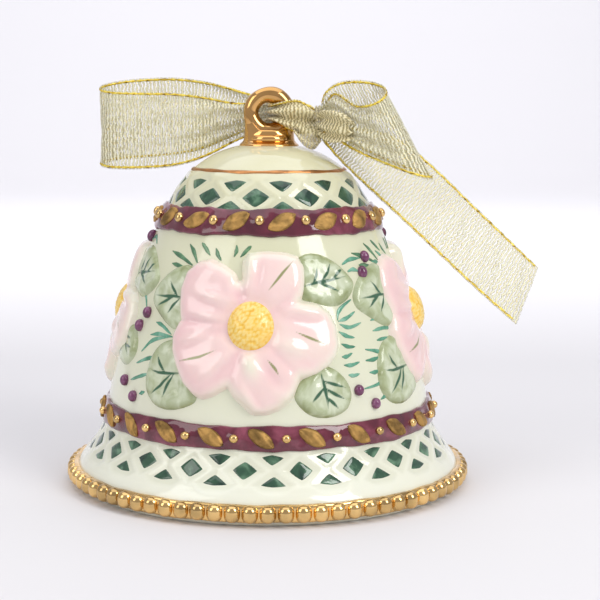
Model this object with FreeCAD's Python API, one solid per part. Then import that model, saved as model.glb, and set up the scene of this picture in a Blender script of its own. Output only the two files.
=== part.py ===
import FreeCAD, Part
import math
import os
from FreeCAD import Vector

# Porcelain bell ornament. Millimetres, +Z up, origin at the centre of the foot that it stands on.
# The front flower looks along -Y.

# ---- driving dimensions: shell ----
mouth_radius = 37.6          # bare porcelain behind the beading
seat_height = 4.6            # straight wall that carries the beading
waist_radius = 32.5          # top of the flare
waist_height = 12.0
skirt_radius = 31.6          # top of the lower band
skirt_height = 17.2
shoulder_radius = 22.2       # foot of the upper band
shoulder_height = 50.0
neck_radius = 19.9           # top of the upper band
neck_height = 55.0
line_radius = 15.0           # edge of the plain dome
line_height = 61.5
crown_height = 66.4          # bare top of the dome
crown_flat_radius = 4.0
flare_dip = 1.1              # how far the flare curves in from a straight line
body_swell = 1.5             # how far the body curves out from a straight line
shoulder_swell = 0.75
dome_swell = 0.5
wall = 3.0
lip_round = 0.7

# ---- relief on the shell ----
band_rise = 0.8
band_leaf_rise = 0.6
petal_rise = 1.6
leaf_rise = 0.9
centre_rise = 1.3
edge_round = 0.25
upper_leaf_count = 16
lower_leaf_count = 22
upper_leaf_length = 5.3
upper_leaf_width = 2.8
upper_leaf_tilt = 25.0
upper_leaf_start = 6.5
lower_leaf_length = 5.8
lower_leaf_width = 3.1
lower_leaf_tilt = -35.0
lower_leaf_start = -2.3
band_bead_radius = 0.9
band_inset = 0.2             # how far the bands stay inside the corners of the outline
corner_clear = 0.05          # between the lower band's edge and the corner grown by its rise
rim_bead_count = 76
rim_bead_height = 3.7
rim_bead_foot = 0.75         # height of the beading above the foot
rim_bead_reach = 2.4         # how far the beading stands out from the bare mouth
rim_bead_flat = 0.6          # radius of the flat at each end of a bead
bead_gap = 0.02

# ---- flowers ----
flower_names = ["front", "right", "back", "left"]
flower_turn = -6.5           # degrees from the front, positive towards +X
flower_height = 34.4
petal_count = 5
petal_start = 66.0           # direction of the first petal, from level
petal_radius = 6.0
petal_reach = 8.9            # flower centre to petal centre
centre_radius = 4.2
berry_radius = 1.0
berry_stand = 0.35           # centre of a berry above the porcelain, as a share of its radius
relief_margin = 4.0          # how far leaves may reach above and below the petals

# ---- crown fittings ----
peg_radius = 1.5
peg_depth = 2.4
collar_radius = 6.0          # foot of the collar, on the dome
collar_foot_height = 66.35
collar_neck_radius = 4.2
collar_neck_height = 66.6
collar_dip = 0.15            # how far the collar's foot curves in below its neck
collar_bead_radius = 4.9
collar_bead_height = 2.0
collar_bead_bottom = 66.8
collar_top_height = 69.3
collar_top_radius = 3.4
ring_radius = 3.55           # centre line of the hanging ring
ring_wire_radius = 1.55
ring_height = 72.4
plug_radius = 5.0
plug_bottom = 60.6

# ---- clapper ----
wire_radius = 0.4
eye_radius = 1.6
eye_height = 59.2            # centre of the eye's half circle
eye_leg_top = 62.6
link_bend_radius = 1.1
link_length = 4.5            # between the centres of the link's two bends
hanger_loop_radius = 1.1
ball_radius = 6.0
ball_height = 21.0
ball_bore_clearance = 0.03
end_bead_radius = 1.1

# ---- ribbon ----
ribbon_width = 16.0
cloth = 0.5                  # thickness of the plain ribbon solids
gathered_layers = 3.0        # layers of cloth that meet where a loop is gathered
strand_radius = 1.0
strand_clearance = 0.08
knot_radius = 2.4
knot_x = 9.6
knot_y = -1.0
knot_height = 71.2
ribbon_gap = 0.5             # between ribbon pieces that move apart
loop_length = 33.0           # hanging loop, from the ring to its far fold
loop_depth = 8.0             # between its two layers
loop_drop = 2.8              # middle of the loop below the ring's centre
loop_root = 6.5              # width where it is gathered at the ring
loop_flare = 18.0            # length over which it opens out
bow_length = 13.5
bow_depth = 8.0
bow_slant = 60.5             # degrees that the fold leans from the ribbon's run
bow_turn = 24.0              # degrees that the bow loop turns towards the front
bow_rise = 6.0               # top of the bow loop above the knot
bow_root = 5.0               # width where it leaves the knot
tail_length = 54.0           # along its lower edge
tail_slope = 43.9            # degrees below level
tail_tilt = 40.0             # degrees that the tail's upper edge leans back
tail_root = 3.4              # width where it leaves the knot
tail_root_lean = 1.0         # how far the corner of that end lies along the tail
tail_forward = 1.0           # how far in front of the knot's centre it leaves
tail_flare = 12.0            # length over which it opens out
tail_cut = 3.2               # how much shorter its upper edge is cut
tail_leave = 75.0            # degrees below level where its lower edge leaves the knot

below_foot = 10.0            # helper stretch that is trimmed away
past = 1.0                   # helper stretch past an edge
touch = 0.01                 # heights nearer than this are the same
far = 200.0


os.makedirs("parts", exist_ok=True)


def save(node, shape):
    shape.exportStep("parts/" + node + ".step")
    print(node, len(shape.Solids), round(shape.Volume, 2), shape.isValid())


def point(x, z):
    return Vector(x, 0, z)


def line(start, end):
    return Part.LineSegment(start, end).toShape()


def bowed(start, end, swell):
    """Arc whose middle stands swell off the straight line, to its right going up."""
    middle = (start + end) * 0.5 + outward(start, end) * swell
    return Part.Arc(start, middle, end).toShape()


def outward(start, end):
    """Direction square to a run of the outline, away from the bell."""
    run = end - start
    return Vector(run.z, 0, -run.x).normalize()


def outline_edges(grow):
    """Right side of the bell from foot to crown, as arcs between corners, moved outwards by grow."""
    corners = [point(mouth_radius, -below_foot), point(mouth_radius, seat_height),
               point(waist_radius, waist_height), point(skirt_radius, skirt_height),
               point(shoulder_radius, shoulder_height), point(neck_radius, neck_height),
               point(line_radius, line_height), point(crown_flat_radius, crown_height),
               point(0, crown_height)]
    swells = [0, -flare_dip, 0, body_swell, 0, shoulder_swell, dome_swell, 0]
    runs = list(zip(corners, corners[1:]))
    sides = [outward(start, end) for start, end in runs]
    moved = [corners[0] + sides[0] * grow]
    for corner, before, after in zip(corners[1:], sides, sides[1:]):
        mitre = (before + after) * (1 / (1 + before.dot(after)))
        moved.append(corner + mitre * grow)
    moved.append(corners[-1] + sides[-1] * grow)
    edges = []
    for start, end, old, side, swell in zip(moved, moved[1:], runs, sides, swells):
        if swell:
            middle = (old[0] + old[1]) * 0.5 + side * (swell + grow)
            edges.append(Part.Arc(start, middle, end).toShape())
        else:
            edges.append(line(start, end))
    return edges


def grown_corner(below, corner, above, grow):
    """Height of a corner of the outline once the outline has grown."""
    before = outward(below, corner)
    after = outward(corner, above)
    return corner.z + (before + after).z * grow / (1 + before.dot(after))


def section(grow=0.0):
    """Half cross-section of the bell without its hollow, grown outwards or shrunk inwards."""
    edges = outline_edges(grow)
    foot = edges[0].Vertexes[0].Point
    crown = edges[-1].Vertexes[-1].Point
    closing = [line(crown, point(0, -below_foot)), line(point(0, -below_foot), foot)]
    return Part.Face(Part.Wire(edges + closing))


def turned(face, low, high):
    """Revolves a half section between two heights."""
    window = Part.Face(Part.makePolygon([
        point(0, low), point(far, low), point(far, high), point(0, high), point(0, low)]))
    return face.common(window).Faces[0].revolve(Vector(0, 0, 0), Vector(0, 0, 1), 360)


def solid_of(shape):
    return shape.Solids[0] if len(shape.Solids) == 1 else Part.makeCompound(shape.Solids)


def skin(inner, outer, low, high):
    """Layer of relief between two distances from the bare surface."""
    return turned(section(outer), low, high).cut(turned(section(inner), low - past, high + past))


def around(shape, degrees):
    """A copy turned about the bell's axis, positive from the front towards +X."""
    copy = shape.copy()
    copy.rotate(Vector(0, 0, 0), Vector(0, 0, 1), degrees)
    return copy


def ring_of(shape, count, start):
    return Part.makeCompound([around(shape, start + 360.0 * i / count) for i in range(count)])


def lens(length, width):
    """Leaf outline along +X in the XZ plane, centred on the origin."""
    tip = point(length / 2, 0)
    base = point(-length / 2, 0)
    edges = [Part.Arc(base, point(0, width / 2), tip).toShape(),
             Part.Arc(tip, point(0, -width / 2), base).toShape()]
    return Part.Face(Part.Wire(edges))


def punch(face, x, z, tilt=0.0):
    """Runs a flat outline through the front wall of the bell, at a place on the front."""
    copy = face.copy()
    copy.rotate(Vector(0, 0, 0), Vector(0, 1, 0), -tilt)
    copy.translate(Vector(x, 0, z))
    return copy.extrude(Vector(0, -far, 0))


def disc(radius):
    return Part.Face(Part.Wire(Part.makeCircle(radius, Vector(0, 0, 0), Vector(0, 1, 0))))


def front_radius(z, grow=0.0):
    """Distance from the axis to the bell's surface at a height."""
    cut = turned(section(grow), z - touch, z + touch)
    return cut.BoundBox.XMax


# ---- shell ----

def build_shell():
    solid = turned(section(), 0, far)
    hollow = turned(section(-wall), -below_foot + wall, far)
    hole = Part.makeCylinder(peg_radius, far)
    shell = solid.cut(hollow).cut(hole)
    foot_edges = [edge for edge in shell.Edges
                  if edge.BoundBox.ZMax < touch and edge.BoundBox.XLength > past]
    return shell.makeFillet(lip_round, foot_edges), solid, hollow


shell, solid, hollow = build_shell()
save("bell_shell", solid_of(shell))


# ---- bands with their gold leaves and beads ----

def build_band(name, low, high, count, start, length, width, tilt):
    band = skin(0, band_rise, low, high)
    lips = [edge for edge in band.Edges if len(edge.Vertexes) == 1
            and edge.BoundBox.ZLength < touch and edge.BoundBox.XLength > past]
    outer = sorted(lips, key=lambda edge: edge.BoundBox.XLength - front_radius(edge.BoundBox.ZMin) * 2)[-2:]
    save(name, solid_of(band.makeFillet(edge_round, outer)))
    middle = (low + high) / 2
    over = skin(band_rise, band_rise + band_leaf_rise, low, high)
    leaf = over.common(punch(lens(length, width), 0, middle, tilt))
    save(name + "_leaves", ring_of(solid_of(leaf), count, start))
    bead = over.common(punch(disc(band_bead_radius), 0, middle))
    save(name + "_beads", ring_of(solid_of(bead), count, start + 180.0 / count))


waist_lip = grown_corner(point(mouth_radius, seat_height), point(waist_radius, waist_height),
                         point(skirt_radius, skirt_height), band_rise)
build_band("upper_band", shoulder_height + band_inset, neck_height - band_inset / 2, upper_leaf_count,
           upper_leaf_start, upper_leaf_length, upper_leaf_width, upper_leaf_tilt)
build_band("lower_band", waist_lip + corner_clear, skirt_height - band_inset, lower_leaf_count,
           lower_leaf_start, lower_leaf_length, lower_leaf_width, lower_leaf_tilt)


# ---- beading round the mouth ----

def build_beading():
    """Barrel beads that touch their neighbours, cut off where they sit on the porcelain."""
    half_pitch = math.pi / rim_bead_count
    bead_centre = (mouth_radius + rim_bead_reach) / (1 + math.sin(half_pitch))
    belly = bead_centre * math.sin(half_pitch) - bead_gap
    middle = rim_bead_foot + rim_bead_height / 2
    top = rim_bead_foot + rim_bead_height
    low_edge = point(rim_bead_flat, rim_bead_foot)
    high_edge = point(rim_bead_flat, top)
    profile = Part.Wire([line(point(0, rim_bead_foot), low_edge),
                         Part.Arc(low_edge, point(belly, middle), high_edge).toShape(),
                         line(high_edge, point(0, top)),
                         line(point(0, top), point(0, rim_bead_foot))])
    bead = Part.Face(profile).revolve(Vector(0, 0, 0), Vector(0, 0, 1), 360)
    bead.translate(Vector(0, -bead_centre, 0))
    bead = solid_of(bead.cut(Part.makeCylinder(mouth_radius, far)))
    save("rim_beading", ring_of(bead, rim_bead_count, 0))


build_beading()


# ---- flowers, leaves and berries ----

def petals_punch():
    """Five round petals run together, with a round of their own size in the middle."""
    shape = punch(disc(petal_radius), 0, flower_height)
    for i in range(petal_count):
        angle = math.radians(petal_start - 360.0 * i / petal_count)
        across = petal_reach * math.cos(angle)
        up = petal_reach * math.sin(angle)
        shape = shape.fuse(punch(disc(petal_radius), across, flower_height + up))
    return shape.removeSplitter()


# each leaf: middle of the leaf across and up from the flower's centre, length, width, direction
leaf_upper_left = (-18.0, 3.9, 9.6, 8.6, 180.0)
leaf_lower_left = (-14.6, -10.4, 10.0, 7.4, 235.0)
leaf_upper_right = (14.8, 8.0, 11.0, 7.6, 5.0)
leaf_lower_right = (12.2, -12.0, 9.0, 7.6, 290.0)
leaf_high_right = (14.4, -6.4, 8.4, 6.4, 275.0)
flower_leaves = {
    "front": [leaf_upper_left, leaf_lower_left, leaf_upper_right, leaf_lower_right],
    "right": [leaf_upper_left, leaf_lower_left, leaf_upper_right, leaf_high_right],
}
flower_leaves["back"] = flower_leaves["front"]
flower_leaves["left"] = flower_leaves["right"]
# berries across and up from the flower on their left, one list for each kind of gap
berries_wide = [(26.5, 11.4), (24.3, 8.8), (19.0, -12.0), (22.3, -14.8)]
berries_low = [(20.4, 0.8), (18.6, -1.8), (17.2, -12.3), (20.8, -14.7), (8.8, 14.2)]
gap_berries = {"front": berries_wide, "right": berries_low, "back": berries_wide, "left": berries_low}


def onto_front(across, up):
    """Turns a distance along the surface into a place seen straight from the front."""
    z = flower_height + up
    radius = front_radius(z)
    return radius * math.sin(across / radius), z


def build_flower(name, turn):
    low = flower_height - petal_reach - petal_radius - relief_margin
    high = flower_height + petal_reach + petal_radius + relief_margin
    petal_skin = skin(0, petal_rise, low, high)
    outline = petals_punch()
    petals = solid_of(petal_skin.common(outline))
    save(name + "_petals", around(petals, turn))
    centre_skin = skin(petal_rise, petal_rise + centre_rise, low, high)
    centre = solid_of(centre_skin.common(punch(disc(centre_radius), 0, flower_height)))
    save(name + "_flower_centre", around(centre, turn))
    leaf_skin = skin(0, leaf_rise, low, high)
    leaves = []
    for across, up, length, width, direction in flower_leaves[name]:
        z = flower_height + up
        blade = punch(lens(length, width), 0, z, direction)
        side = math.degrees(across / front_radius(z))
        blade = around(leaf_skin.common(blade), side)
        leaves += blade.cut(outline).Solids
    save(name + "_leaves", around(Part.makeCompound(leaves), turn))


def build_berries(name, turn):
    berries = []
    for across, up in gap_berries[name]:
        z = flower_height + up
        side = math.degrees(across / front_radius(z))
        middle = Vector(0, -front_radius(z) - berry_stand * berry_radius, z)
        ball = Part.makeSphere(berry_radius, middle)
        berries += around(ball.cut(solid), side).Solids
    save("berries_beside_" + name, around(Part.makeCompound(berries), turn))


for number, name in enumerate(flower_names):
    build_flower(name, flower_turn + 90.0 * number)
    build_berries(name, flower_turn + 90.0 * number)


# ---- crown fittings ----

def torus(centre, major, minor, axis):
    return Part.makeTorus(major, minor, centre, axis)


def build_collar_and_ring():
    ring = torus(Vector(0, 0, ring_height), ring_radius, ring_wire_radius, Vector(0, 1, 0))
    save("hanging_ring", ring)
    bead_middle = collar_bead_bottom + collar_bead_height / 2
    bead_top = collar_bead_bottom + collar_bead_height
    low = crown_height - peg_depth
    profile = Part.Wire([
        line(point(0, low), point(collar_radius, low)),
        line(point(collar_radius, low), point(collar_radius, collar_foot_height)),
        bowed(point(collar_neck_radius, collar_neck_height), point(collar_radius, collar_foot_height),
              -collar_dip),
        line(point(collar_neck_radius, collar_neck_height), point(collar_neck_radius, collar_bead_bottom)),
        Part.Arc(point(collar_neck_radius, collar_bead_bottom), point(collar_bead_radius, bead_middle),
                 point(collar_neck_radius, bead_top)).toShape(),
        line(point(collar_neck_radius, bead_top), point(collar_top_radius, collar_top_height)),
        line(point(collar_top_radius, collar_top_height), point(0, collar_top_height)),
        line(point(0, collar_top_height), point(0, low)),
    ])
    collar = Part.Face(profile).revolve(Vector(0, 0, 0), Vector(0, 0, 1), 360)
    peg = Part.makeCylinder(peg_radius, peg_depth + past, Vector(0, 0, low))
    collar = collar.cut(solid).fuse(peg).cut(ring)
    save("crown_collar", solid_of(collar))


def wire_along(edges, start, direction):
    circle = Part.Wire(Part.makeCircle(wire_radius, start, direction))
    return Part.Wire(edges).makePipeShell([circle], True, True)


def build_eye_and_plug():
    left_top = Vector(-eye_radius, 0, eye_leg_top)
    right_top = Vector(eye_radius, 0, eye_leg_top)
    left = Vector(-eye_radius, 0, eye_height)
    right = Vector(eye_radius, 0, eye_height)
    low = Vector(0, 0, eye_height - eye_radius)
    path = [line(left_top, left), Part.Arc(left, low, right).toShape(), line(right, right_top)]
    eye = wire_along(path, left_top, Vector(0, 0, -1))
    save("clapper_eye", eye)
    core = Part.makeCylinder(plug_radius, far, Vector(0, 0, plug_bottom))
    peg_end = crown_height - peg_depth
    stem = Part.makeCylinder(peg_radius, peg_end - plug_bottom, Vector(0, 0, plug_bottom))
    plug = hollow.common(core).fuse(stem).cut(eye).removeSplitter()
    save("crown_plug", solid_of(plug))


build_collar_and_ring()
build_eye_and_plug()


# ---- clapper ----

link_top = eye_height - eye_radius               # centre of the eye's lowest wire
link_low = link_top - link_length - link_bend_radius
# the link's upper bend is centred on the eye's wire; its lowest wire carries the hanger


def build_link():
    high = link_top
    low = link_top - link_length
    front_high = Vector(0, -link_bend_radius, high)
    back_high = Vector(0, link_bend_radius, high)
    front_low = Vector(0, -link_bend_radius, low)
    back_low = Vector(0, link_bend_radius, low)
    crest = Vector(0, 0, high + link_bend_radius)
    trough = Vector(0, 0, low - link_bend_radius)
    path = [line(front_low, front_high), Part.Arc(front_high, crest, back_high).toShape(),
            line(back_high, back_low), Part.Arc(back_low, trough, front_low).toShape()]
    save("clapper_link", wire_along(path, front_low, Vector(0, 0, 1)))


def build_clapper():
    loop = torus(Vector(0, 0, link_low), hanger_loop_radius, wire_radius, Vector(0, 1, 0))
    stem_bottom = ball_height - ball_radius - end_bead_radius
    stem_top = link_low - hanger_loop_radius
    stem = Part.makeCylinder(wire_radius, stem_top - stem_bottom, Vector(0, 0, stem_bottom))
    save("clapper_hanger", solid_of(loop.fuse(stem)))
    bore = Part.makeCylinder(wire_radius + ball_bore_clearance, far, Vector(0, 0, stem_bottom - past))
    ball = Part.makeSphere(ball_radius, Vector(0, 0, ball_height)).cut(bore)
    save("clapper_ball", solid_of(ball))
    bead = Part.makeSphere(end_bead_radius, Vector(0, 0, stem_bottom)).cut(stem)
    bead = bead.cut(Part.makeSphere(ball_radius, Vector(0, 0, ball_height)))
    save("clapper_end", solid_of(bead))


build_link()
build_clapper()


# ---- ribbon ----

strand_reach = ring_wire_radius + strand_clearance + strand_radius   # from the ring's wire


def side_window(points):
    """Prism across the whole depth, from an outline seen from the front."""
    corners = [point(x, z) for x, z in points]
    face = Part.Face(Part.makePolygon(corners + corners[:1]))
    face.translate(Vector(0, -far, 0))
    return face.extrude(Vector(0, 2 * far, 0))


def teardrop(length, depth, inset):
    """Plan of a loop along +X, from its gathered end to its rounded fold."""
    half = depth / 2 - inset
    fold = length - depth / 2
    nose = inset * gathered_layers
    points = [Vector(nose, 0, 0), Vector(fold, half, 0), Vector(fold + half, 0, 0), Vector(fold, -half, 0)]
    edges = [Part.LineSegment(points[0], points[1]).toShape(),
             Part.Arc(points[1], points[2], points[3]).toShape(),
             Part.LineSegment(points[3], points[0]).toShape()]
    return Part.Face(Part.Wire(edges))


def cloth_loop(length, depth, run):
    outer = teardrop(length, depth, 0).extrude(run)
    inner = teardrop(length, depth, cloth).extrude(run)
    return outer.cut(inner)


def build_hanging_loop():
    """Two layers behind the ring; the front one runs straight out to the side."""
    half = ribbon_width / 2
    height = ring_height - loop_drop
    front = max(strand_reach + strand_radius, collar_bead_radius) + ribbon_gap
    spread = math.degrees(math.atan2(loop_depth / 2, loop_length - loop_depth / 2))
    loop = cloth_loop(loop_length, loop_depth, Vector(0, 0, ribbon_width))
    loop.rotate(Vector(0, 0, 0), Vector(0, 0, 1), 180 - spread)
    loop.translate(Vector(-ring_wire_radius, front, height - half))
    low = height - half - past
    top = height + half + past
    window = side_window([(0, ring_height - loop_root / 2), (0, ring_height + loop_root / 2),
                          (-loop_flare, top), (-far, top), (-far, low), (-loop_flare, low)])
    save("ribbon_hanging_loop", solid_of(loop.common(window)))


def build_strands_and_knot():
    strands = torus(Vector(ring_radius, 0, ring_height), strand_reach, strand_radius, Vector(0, 0, 1))
    knot = Part.makeSphere(knot_radius, Vector(knot_x, knot_y, knot_height)).cut(strands)
    save("ribbon_strands", strands)
    save("ribbon_knot", solid_of(knot))


def build_bow_loop():
    """Small loop in front, folded on the slant, that leaves the knot on its front right side."""
    slant = math.radians(bow_slant)
    turn = math.radians(bow_turn)
    run = Vector(math.cos(slant), 0, -math.sin(slant)) * (ribbon_width / math.sin(slant))
    loop = cloth_loop(bow_length, bow_depth, run)
    loop.rotate(Vector(0, 0, 0), Vector(0, 0, 1), -bow_turn)
    clear = knot_radius + ribbon_gap
    nose_x = knot_x + clear * math.sin(turn)
    nose_y = knot_y - clear * math.cos(turn)
    loop.translate(Vector(nose_x - bow_rise / math.tan(slant), nose_y, knot_height + bow_rise))
    half = bow_root / 2
    flare = nose_x + ribbon_width / 2
    window = side_window([(nose_x, knot_height - half), (nose_x, knot_height + half),
                          (nose_x + half, far), (far, far), (far, 0),
                          (flare, knot_height - ribbon_width / 2)])
    save("ribbon_bow_loop", solid_of(loop.common(window)))


def build_tail():
    """Free end that hangs from the knot's lower right side, its upper edge leaning back."""
    leave = math.radians(tail_leave)
    clear = knot_radius + ribbon_gap
    corners = [Vector(0, 0, 0), Vector(tail_length, 0, 0), Vector(tail_length - tail_cut, 0, ribbon_width),
               Vector(tail_flare, 0, ribbon_width), Vector(tail_root_lean, 0, tail_root)]
    face = Part.Face(Part.makePolygon(corners + corners[:1]))
    tail = face.extrude(Vector(0, cloth, 0))
    tail.rotate(Vector(0, 0, 0), Vector(1, 0, 0), -tail_tilt)
    tail.rotate(Vector(0, 0, 0), Vector(0, 1, 0), tail_slope)
    tail.translate(Vector(knot_x + clear * math.cos(leave), knot_y - tail_forward,
                          knot_height - clear * math.sin(leave)))
    save("ribbon_tail", tail)


build_hanging_loop()
build_strands_and_knot()
build_bow_loop()
build_tail()
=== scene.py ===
import bpy
import math
import random
import numpy as np
from mathutils import Matrix, Vector


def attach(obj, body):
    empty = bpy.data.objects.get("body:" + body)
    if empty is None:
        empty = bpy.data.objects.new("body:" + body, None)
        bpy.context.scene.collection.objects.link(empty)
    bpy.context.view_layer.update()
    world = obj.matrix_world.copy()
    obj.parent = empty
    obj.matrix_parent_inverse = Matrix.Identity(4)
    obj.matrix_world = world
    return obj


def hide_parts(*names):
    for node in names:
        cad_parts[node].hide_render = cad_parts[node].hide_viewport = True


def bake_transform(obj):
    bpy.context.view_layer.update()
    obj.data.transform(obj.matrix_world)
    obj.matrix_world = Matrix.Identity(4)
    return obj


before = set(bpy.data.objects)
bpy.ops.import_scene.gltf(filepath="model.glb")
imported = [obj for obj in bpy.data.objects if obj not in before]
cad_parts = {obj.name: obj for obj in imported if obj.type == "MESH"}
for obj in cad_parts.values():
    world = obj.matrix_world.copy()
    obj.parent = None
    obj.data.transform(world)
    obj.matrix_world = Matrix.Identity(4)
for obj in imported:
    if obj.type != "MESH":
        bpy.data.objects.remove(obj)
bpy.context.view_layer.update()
mm = 0.001
random.seed(7)
noiseSource = np.random.default_rng(7)


cameraSetup = {"place": (0, -0.300, 0.0758), "pitch": 7.64, "yaw": 1.19, "roll": 0.35, "lens": 91.4}


def placeCamera():
    pitch, yaw, roll = (math.radians(cameraSetup[key]) for key in ("pitch", "yaw", "roll"))
    forward = Vector((math.sin(yaw) * math.cos(pitch), math.cos(yaw) * math.cos(pitch), -math.sin(pitch)))
    level = Vector((math.cos(yaw), -math.sin(yaw), 0))
    above = level.cross(forward)
    right = level * math.cos(roll) + above * math.sin(roll)
    up = above * math.cos(roll) - level * math.sin(roll)
    bpy.ops.object.camera_add(location=cameraSetup["place"])
    camera = bpy.context.object
    turn = Matrix((right, up, -forward)).transposed().to_4x4()
    camera.matrix_world = Matrix.Translation(cameraSetup["place"]) @ turn
    camera.data.lens = cameraSetup["lens"]
    camera.data.sensor_width = 36
    camera.data.clip_start = 0.01
    bpy.context.scene.camera = camera


stageLook = {"floor": (228, 227, 229), "width": 3.0, "front": 1.2, "back": 0.9, "sweep": 0.5, "height": 1.6}
lightPlan = {
    # name: place, aim, width, height, power, colour
    "windowRight": ((0.42, -0.40, 0.42), (0, 0, 0.04), 0.26, 0.40, 2.1, (1.0, 0.99, 0.97)),
    "softLeft": ((-0.50, -0.35, 0.38), (0, 0, 0.04), 0.34, 0.46, 1.05, (1.0, 0.98, 0.95)),
    "overhead": ((0.0, 0.10, 0.75), (0, 0.1, 0), 0.9, 0.9, 2.6, (0.97, 0.98, 1.0)),
    "backWash": ((0.0, 0.25, 0.70), (0, 0.95, 0.58), 1.2, 0.5, 9.3, (0.97, 0.97, 1.0)),
}
worldLook = {"colour": (0.82, 0.81, 0.86), "strength": 0.60}


def linear(red, green, blue):
    values = []
    for part in (red, green, blue):
        part = part / 255
        values.append(part / 12.92 if part <= 0.04045 else ((part + 0.055) / 1.055) ** 2.4)
    return tuple(values)


def colour(red, green, blue):
    return linear(red, green, blue) + (1.0,)


def deselect():
    if bpy.context.object and bpy.context.object.mode != "OBJECT":
        bpy.ops.object.mode_set(mode="OBJECT")
    bpy.ops.object.select_all(action="DESELECT")


def makeStage():
    deselect()
    look = stageLook
    bpy.ops.mesh.primitive_grid_add(x_subdivisions=2, y_subdivisions=60, size=1)
    floor = bpy.context.object
    floor.name = "paleFloor"
    flat = look["front"] + look["back"]
    bend = look["sweep"] * math.pi / 2
    for vertex in floor.data.vertices:
        run = (vertex.co.y + 0.5) * (flat + bend + look["height"])
        vertex.co.x = vertex.co.x * look["width"]
        if run < flat:
            vertex.co.y, vertex.co.z = run - look["front"], 0
        elif run < flat + bend:
            angle = (run - flat) / look["sweep"]
            vertex.co.y = look["back"] + look["sweep"] * math.sin(angle)
            vertex.co.z = look["sweep"] * (1 - math.cos(angle))
        else:
            vertex.co.y = look["back"] + look["sweep"]
            vertex.co.z = look["sweep"] + run - flat - bend
    bpy.ops.object.shade_smooth()
    paper = bpy.data.materials.new("palePaper")
    paper.use_nodes = True
    shader = paper.node_tree.nodes["Principled BSDF"]
    shader.inputs["Base Color"].default_value = colour(*look["floor"])
    shader.inputs["Roughness"].default_value = 0.75
    floor.data.materials.append(paper)


def makeLights():
    for name, (place, aim, width, height, power, tone) in lightPlan.items():
        bpy.ops.object.light_add(type="AREA", location=place)
        light = bpy.context.object
        light.name = name
        light.data.shape = "RECTANGLE"
        light.data.size = width
        light.data.size_y = height
        light.data.energy = power
        light.data.color = tone
        light.rotation_euler = (Vector(aim) - Vector(place)).to_track_quat("-Z", "Y").to_euler()
    world = bpy.data.worlds.new("paleRoom")
    world.use_nodes = True
    background = world.node_tree.nodes["Background"]
    background.inputs["Color"].default_value = (*worldLook["colour"], 1)
    background.inputs["Strength"].default_value = worldLook["strength"]
    bpy.context.scene.world = world


placeCamera()
makeStage()
makeLights()
bpy.context.scene.view_settings.view_transform = "Standard"
print("stage ready")


def startMaterial(name, base, roughness, metallic=0.0, coat=0.0):
    material = bpy.data.materials.new(name)
    material.use_nodes = True
    tree = material.node_tree
    shader = tree.nodes["Principled BSDF"]
    shader.inputs["Base Color"].default_value = colour(*base)
    shader.inputs["Roughness"].default_value = roughness
    shader.inputs["Metallic"].default_value = metallic
    shader.inputs["Coat Weight"].default_value = coat
    shader.inputs["Coat Roughness"].default_value = 0.04
    return material, tree, shader


def addNode(tree, kind, **inputs):
    node = tree.nodes.new("ShaderNode" + kind)
    for key, value in inputs.items():
        node.inputs[key.replace("_", " ")].default_value = value
    return node


def objectPlace(tree):
    return addNode(tree, "TexCoord").outputs["Object"]


def noiseOf(tree, place, scale, detail=3.0, distortion=0.0):
    node = addNode(tree, "TexNoise", Scale=scale, Detail=detail, Distortion=distortion)
    tree.links.new(place, node.inputs["Vector"])
    return node.outputs["Fac"]


def ramped(tree, value, stops):
    node = tree.nodes.new("ShaderNodeValToRGB")
    ramp = node.color_ramp
    while len(ramp.elements) < len(stops):
        ramp.elements.new(0.5)
    for element, (at, tone) in zip(ramp.elements, stops):
        element.position = at
        element.color = tone
    tree.links.new(value, node.inputs["Fac"])
    return node.outputs["Color"]


def mixed(tree, share, first, second):
    node = tree.nodes.new("ShaderNodeMix")
    node.data_type = "RGBA"
    for socket, value in ((node.inputs[0], share), (node.inputs[6], first), (node.inputs[7], second)):
        if hasattr(value, "links"):
            tree.links.new(value, socket)
        else:
            socket.default_value = value
    return node.outputs[2]


def computed(tree, operation, *values):
    node = tree.nodes.new("ShaderNodeMath")
    node.operation = operation
    for socket, value in zip(node.inputs, values):
        if hasattr(value, "links"):
            tree.links.new(value, socket)
        else:
            socket.default_value = value
    return node.outputs[0]


def stretched(tree, value, low, high, newLow=0.0, newHigh=1.0):
    node = addNode(tree, "MapRange", From_Min=low, From_Max=high, To_Min=newLow, To_Max=newHigh)
    tree.links.new(value, node.inputs["Value"])
    return node.outputs["Result"]


# A noise moved to either side of nothing, and scaled.
def centred(tree, noise, strength):
    return computed(tree, "MULTIPLY", computed(tree, "SUBTRACT", noise, 0.5), strength)


def painted(tree, name):
    node = tree.nodes.new("ShaderNodeAttribute")
    node.attribute_name = name
    return node.outputs["Fac"]


def roughen(tree, shader, height, strength, distance=0.0003):
    node = addNode(tree, "Bump", Strength=strength, Distance=distance)
    tree.links.new(height, node.inputs["Height"])
    tree.links.new(node.outputs["Normal"], shader.inputs["Normal"])


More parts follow.
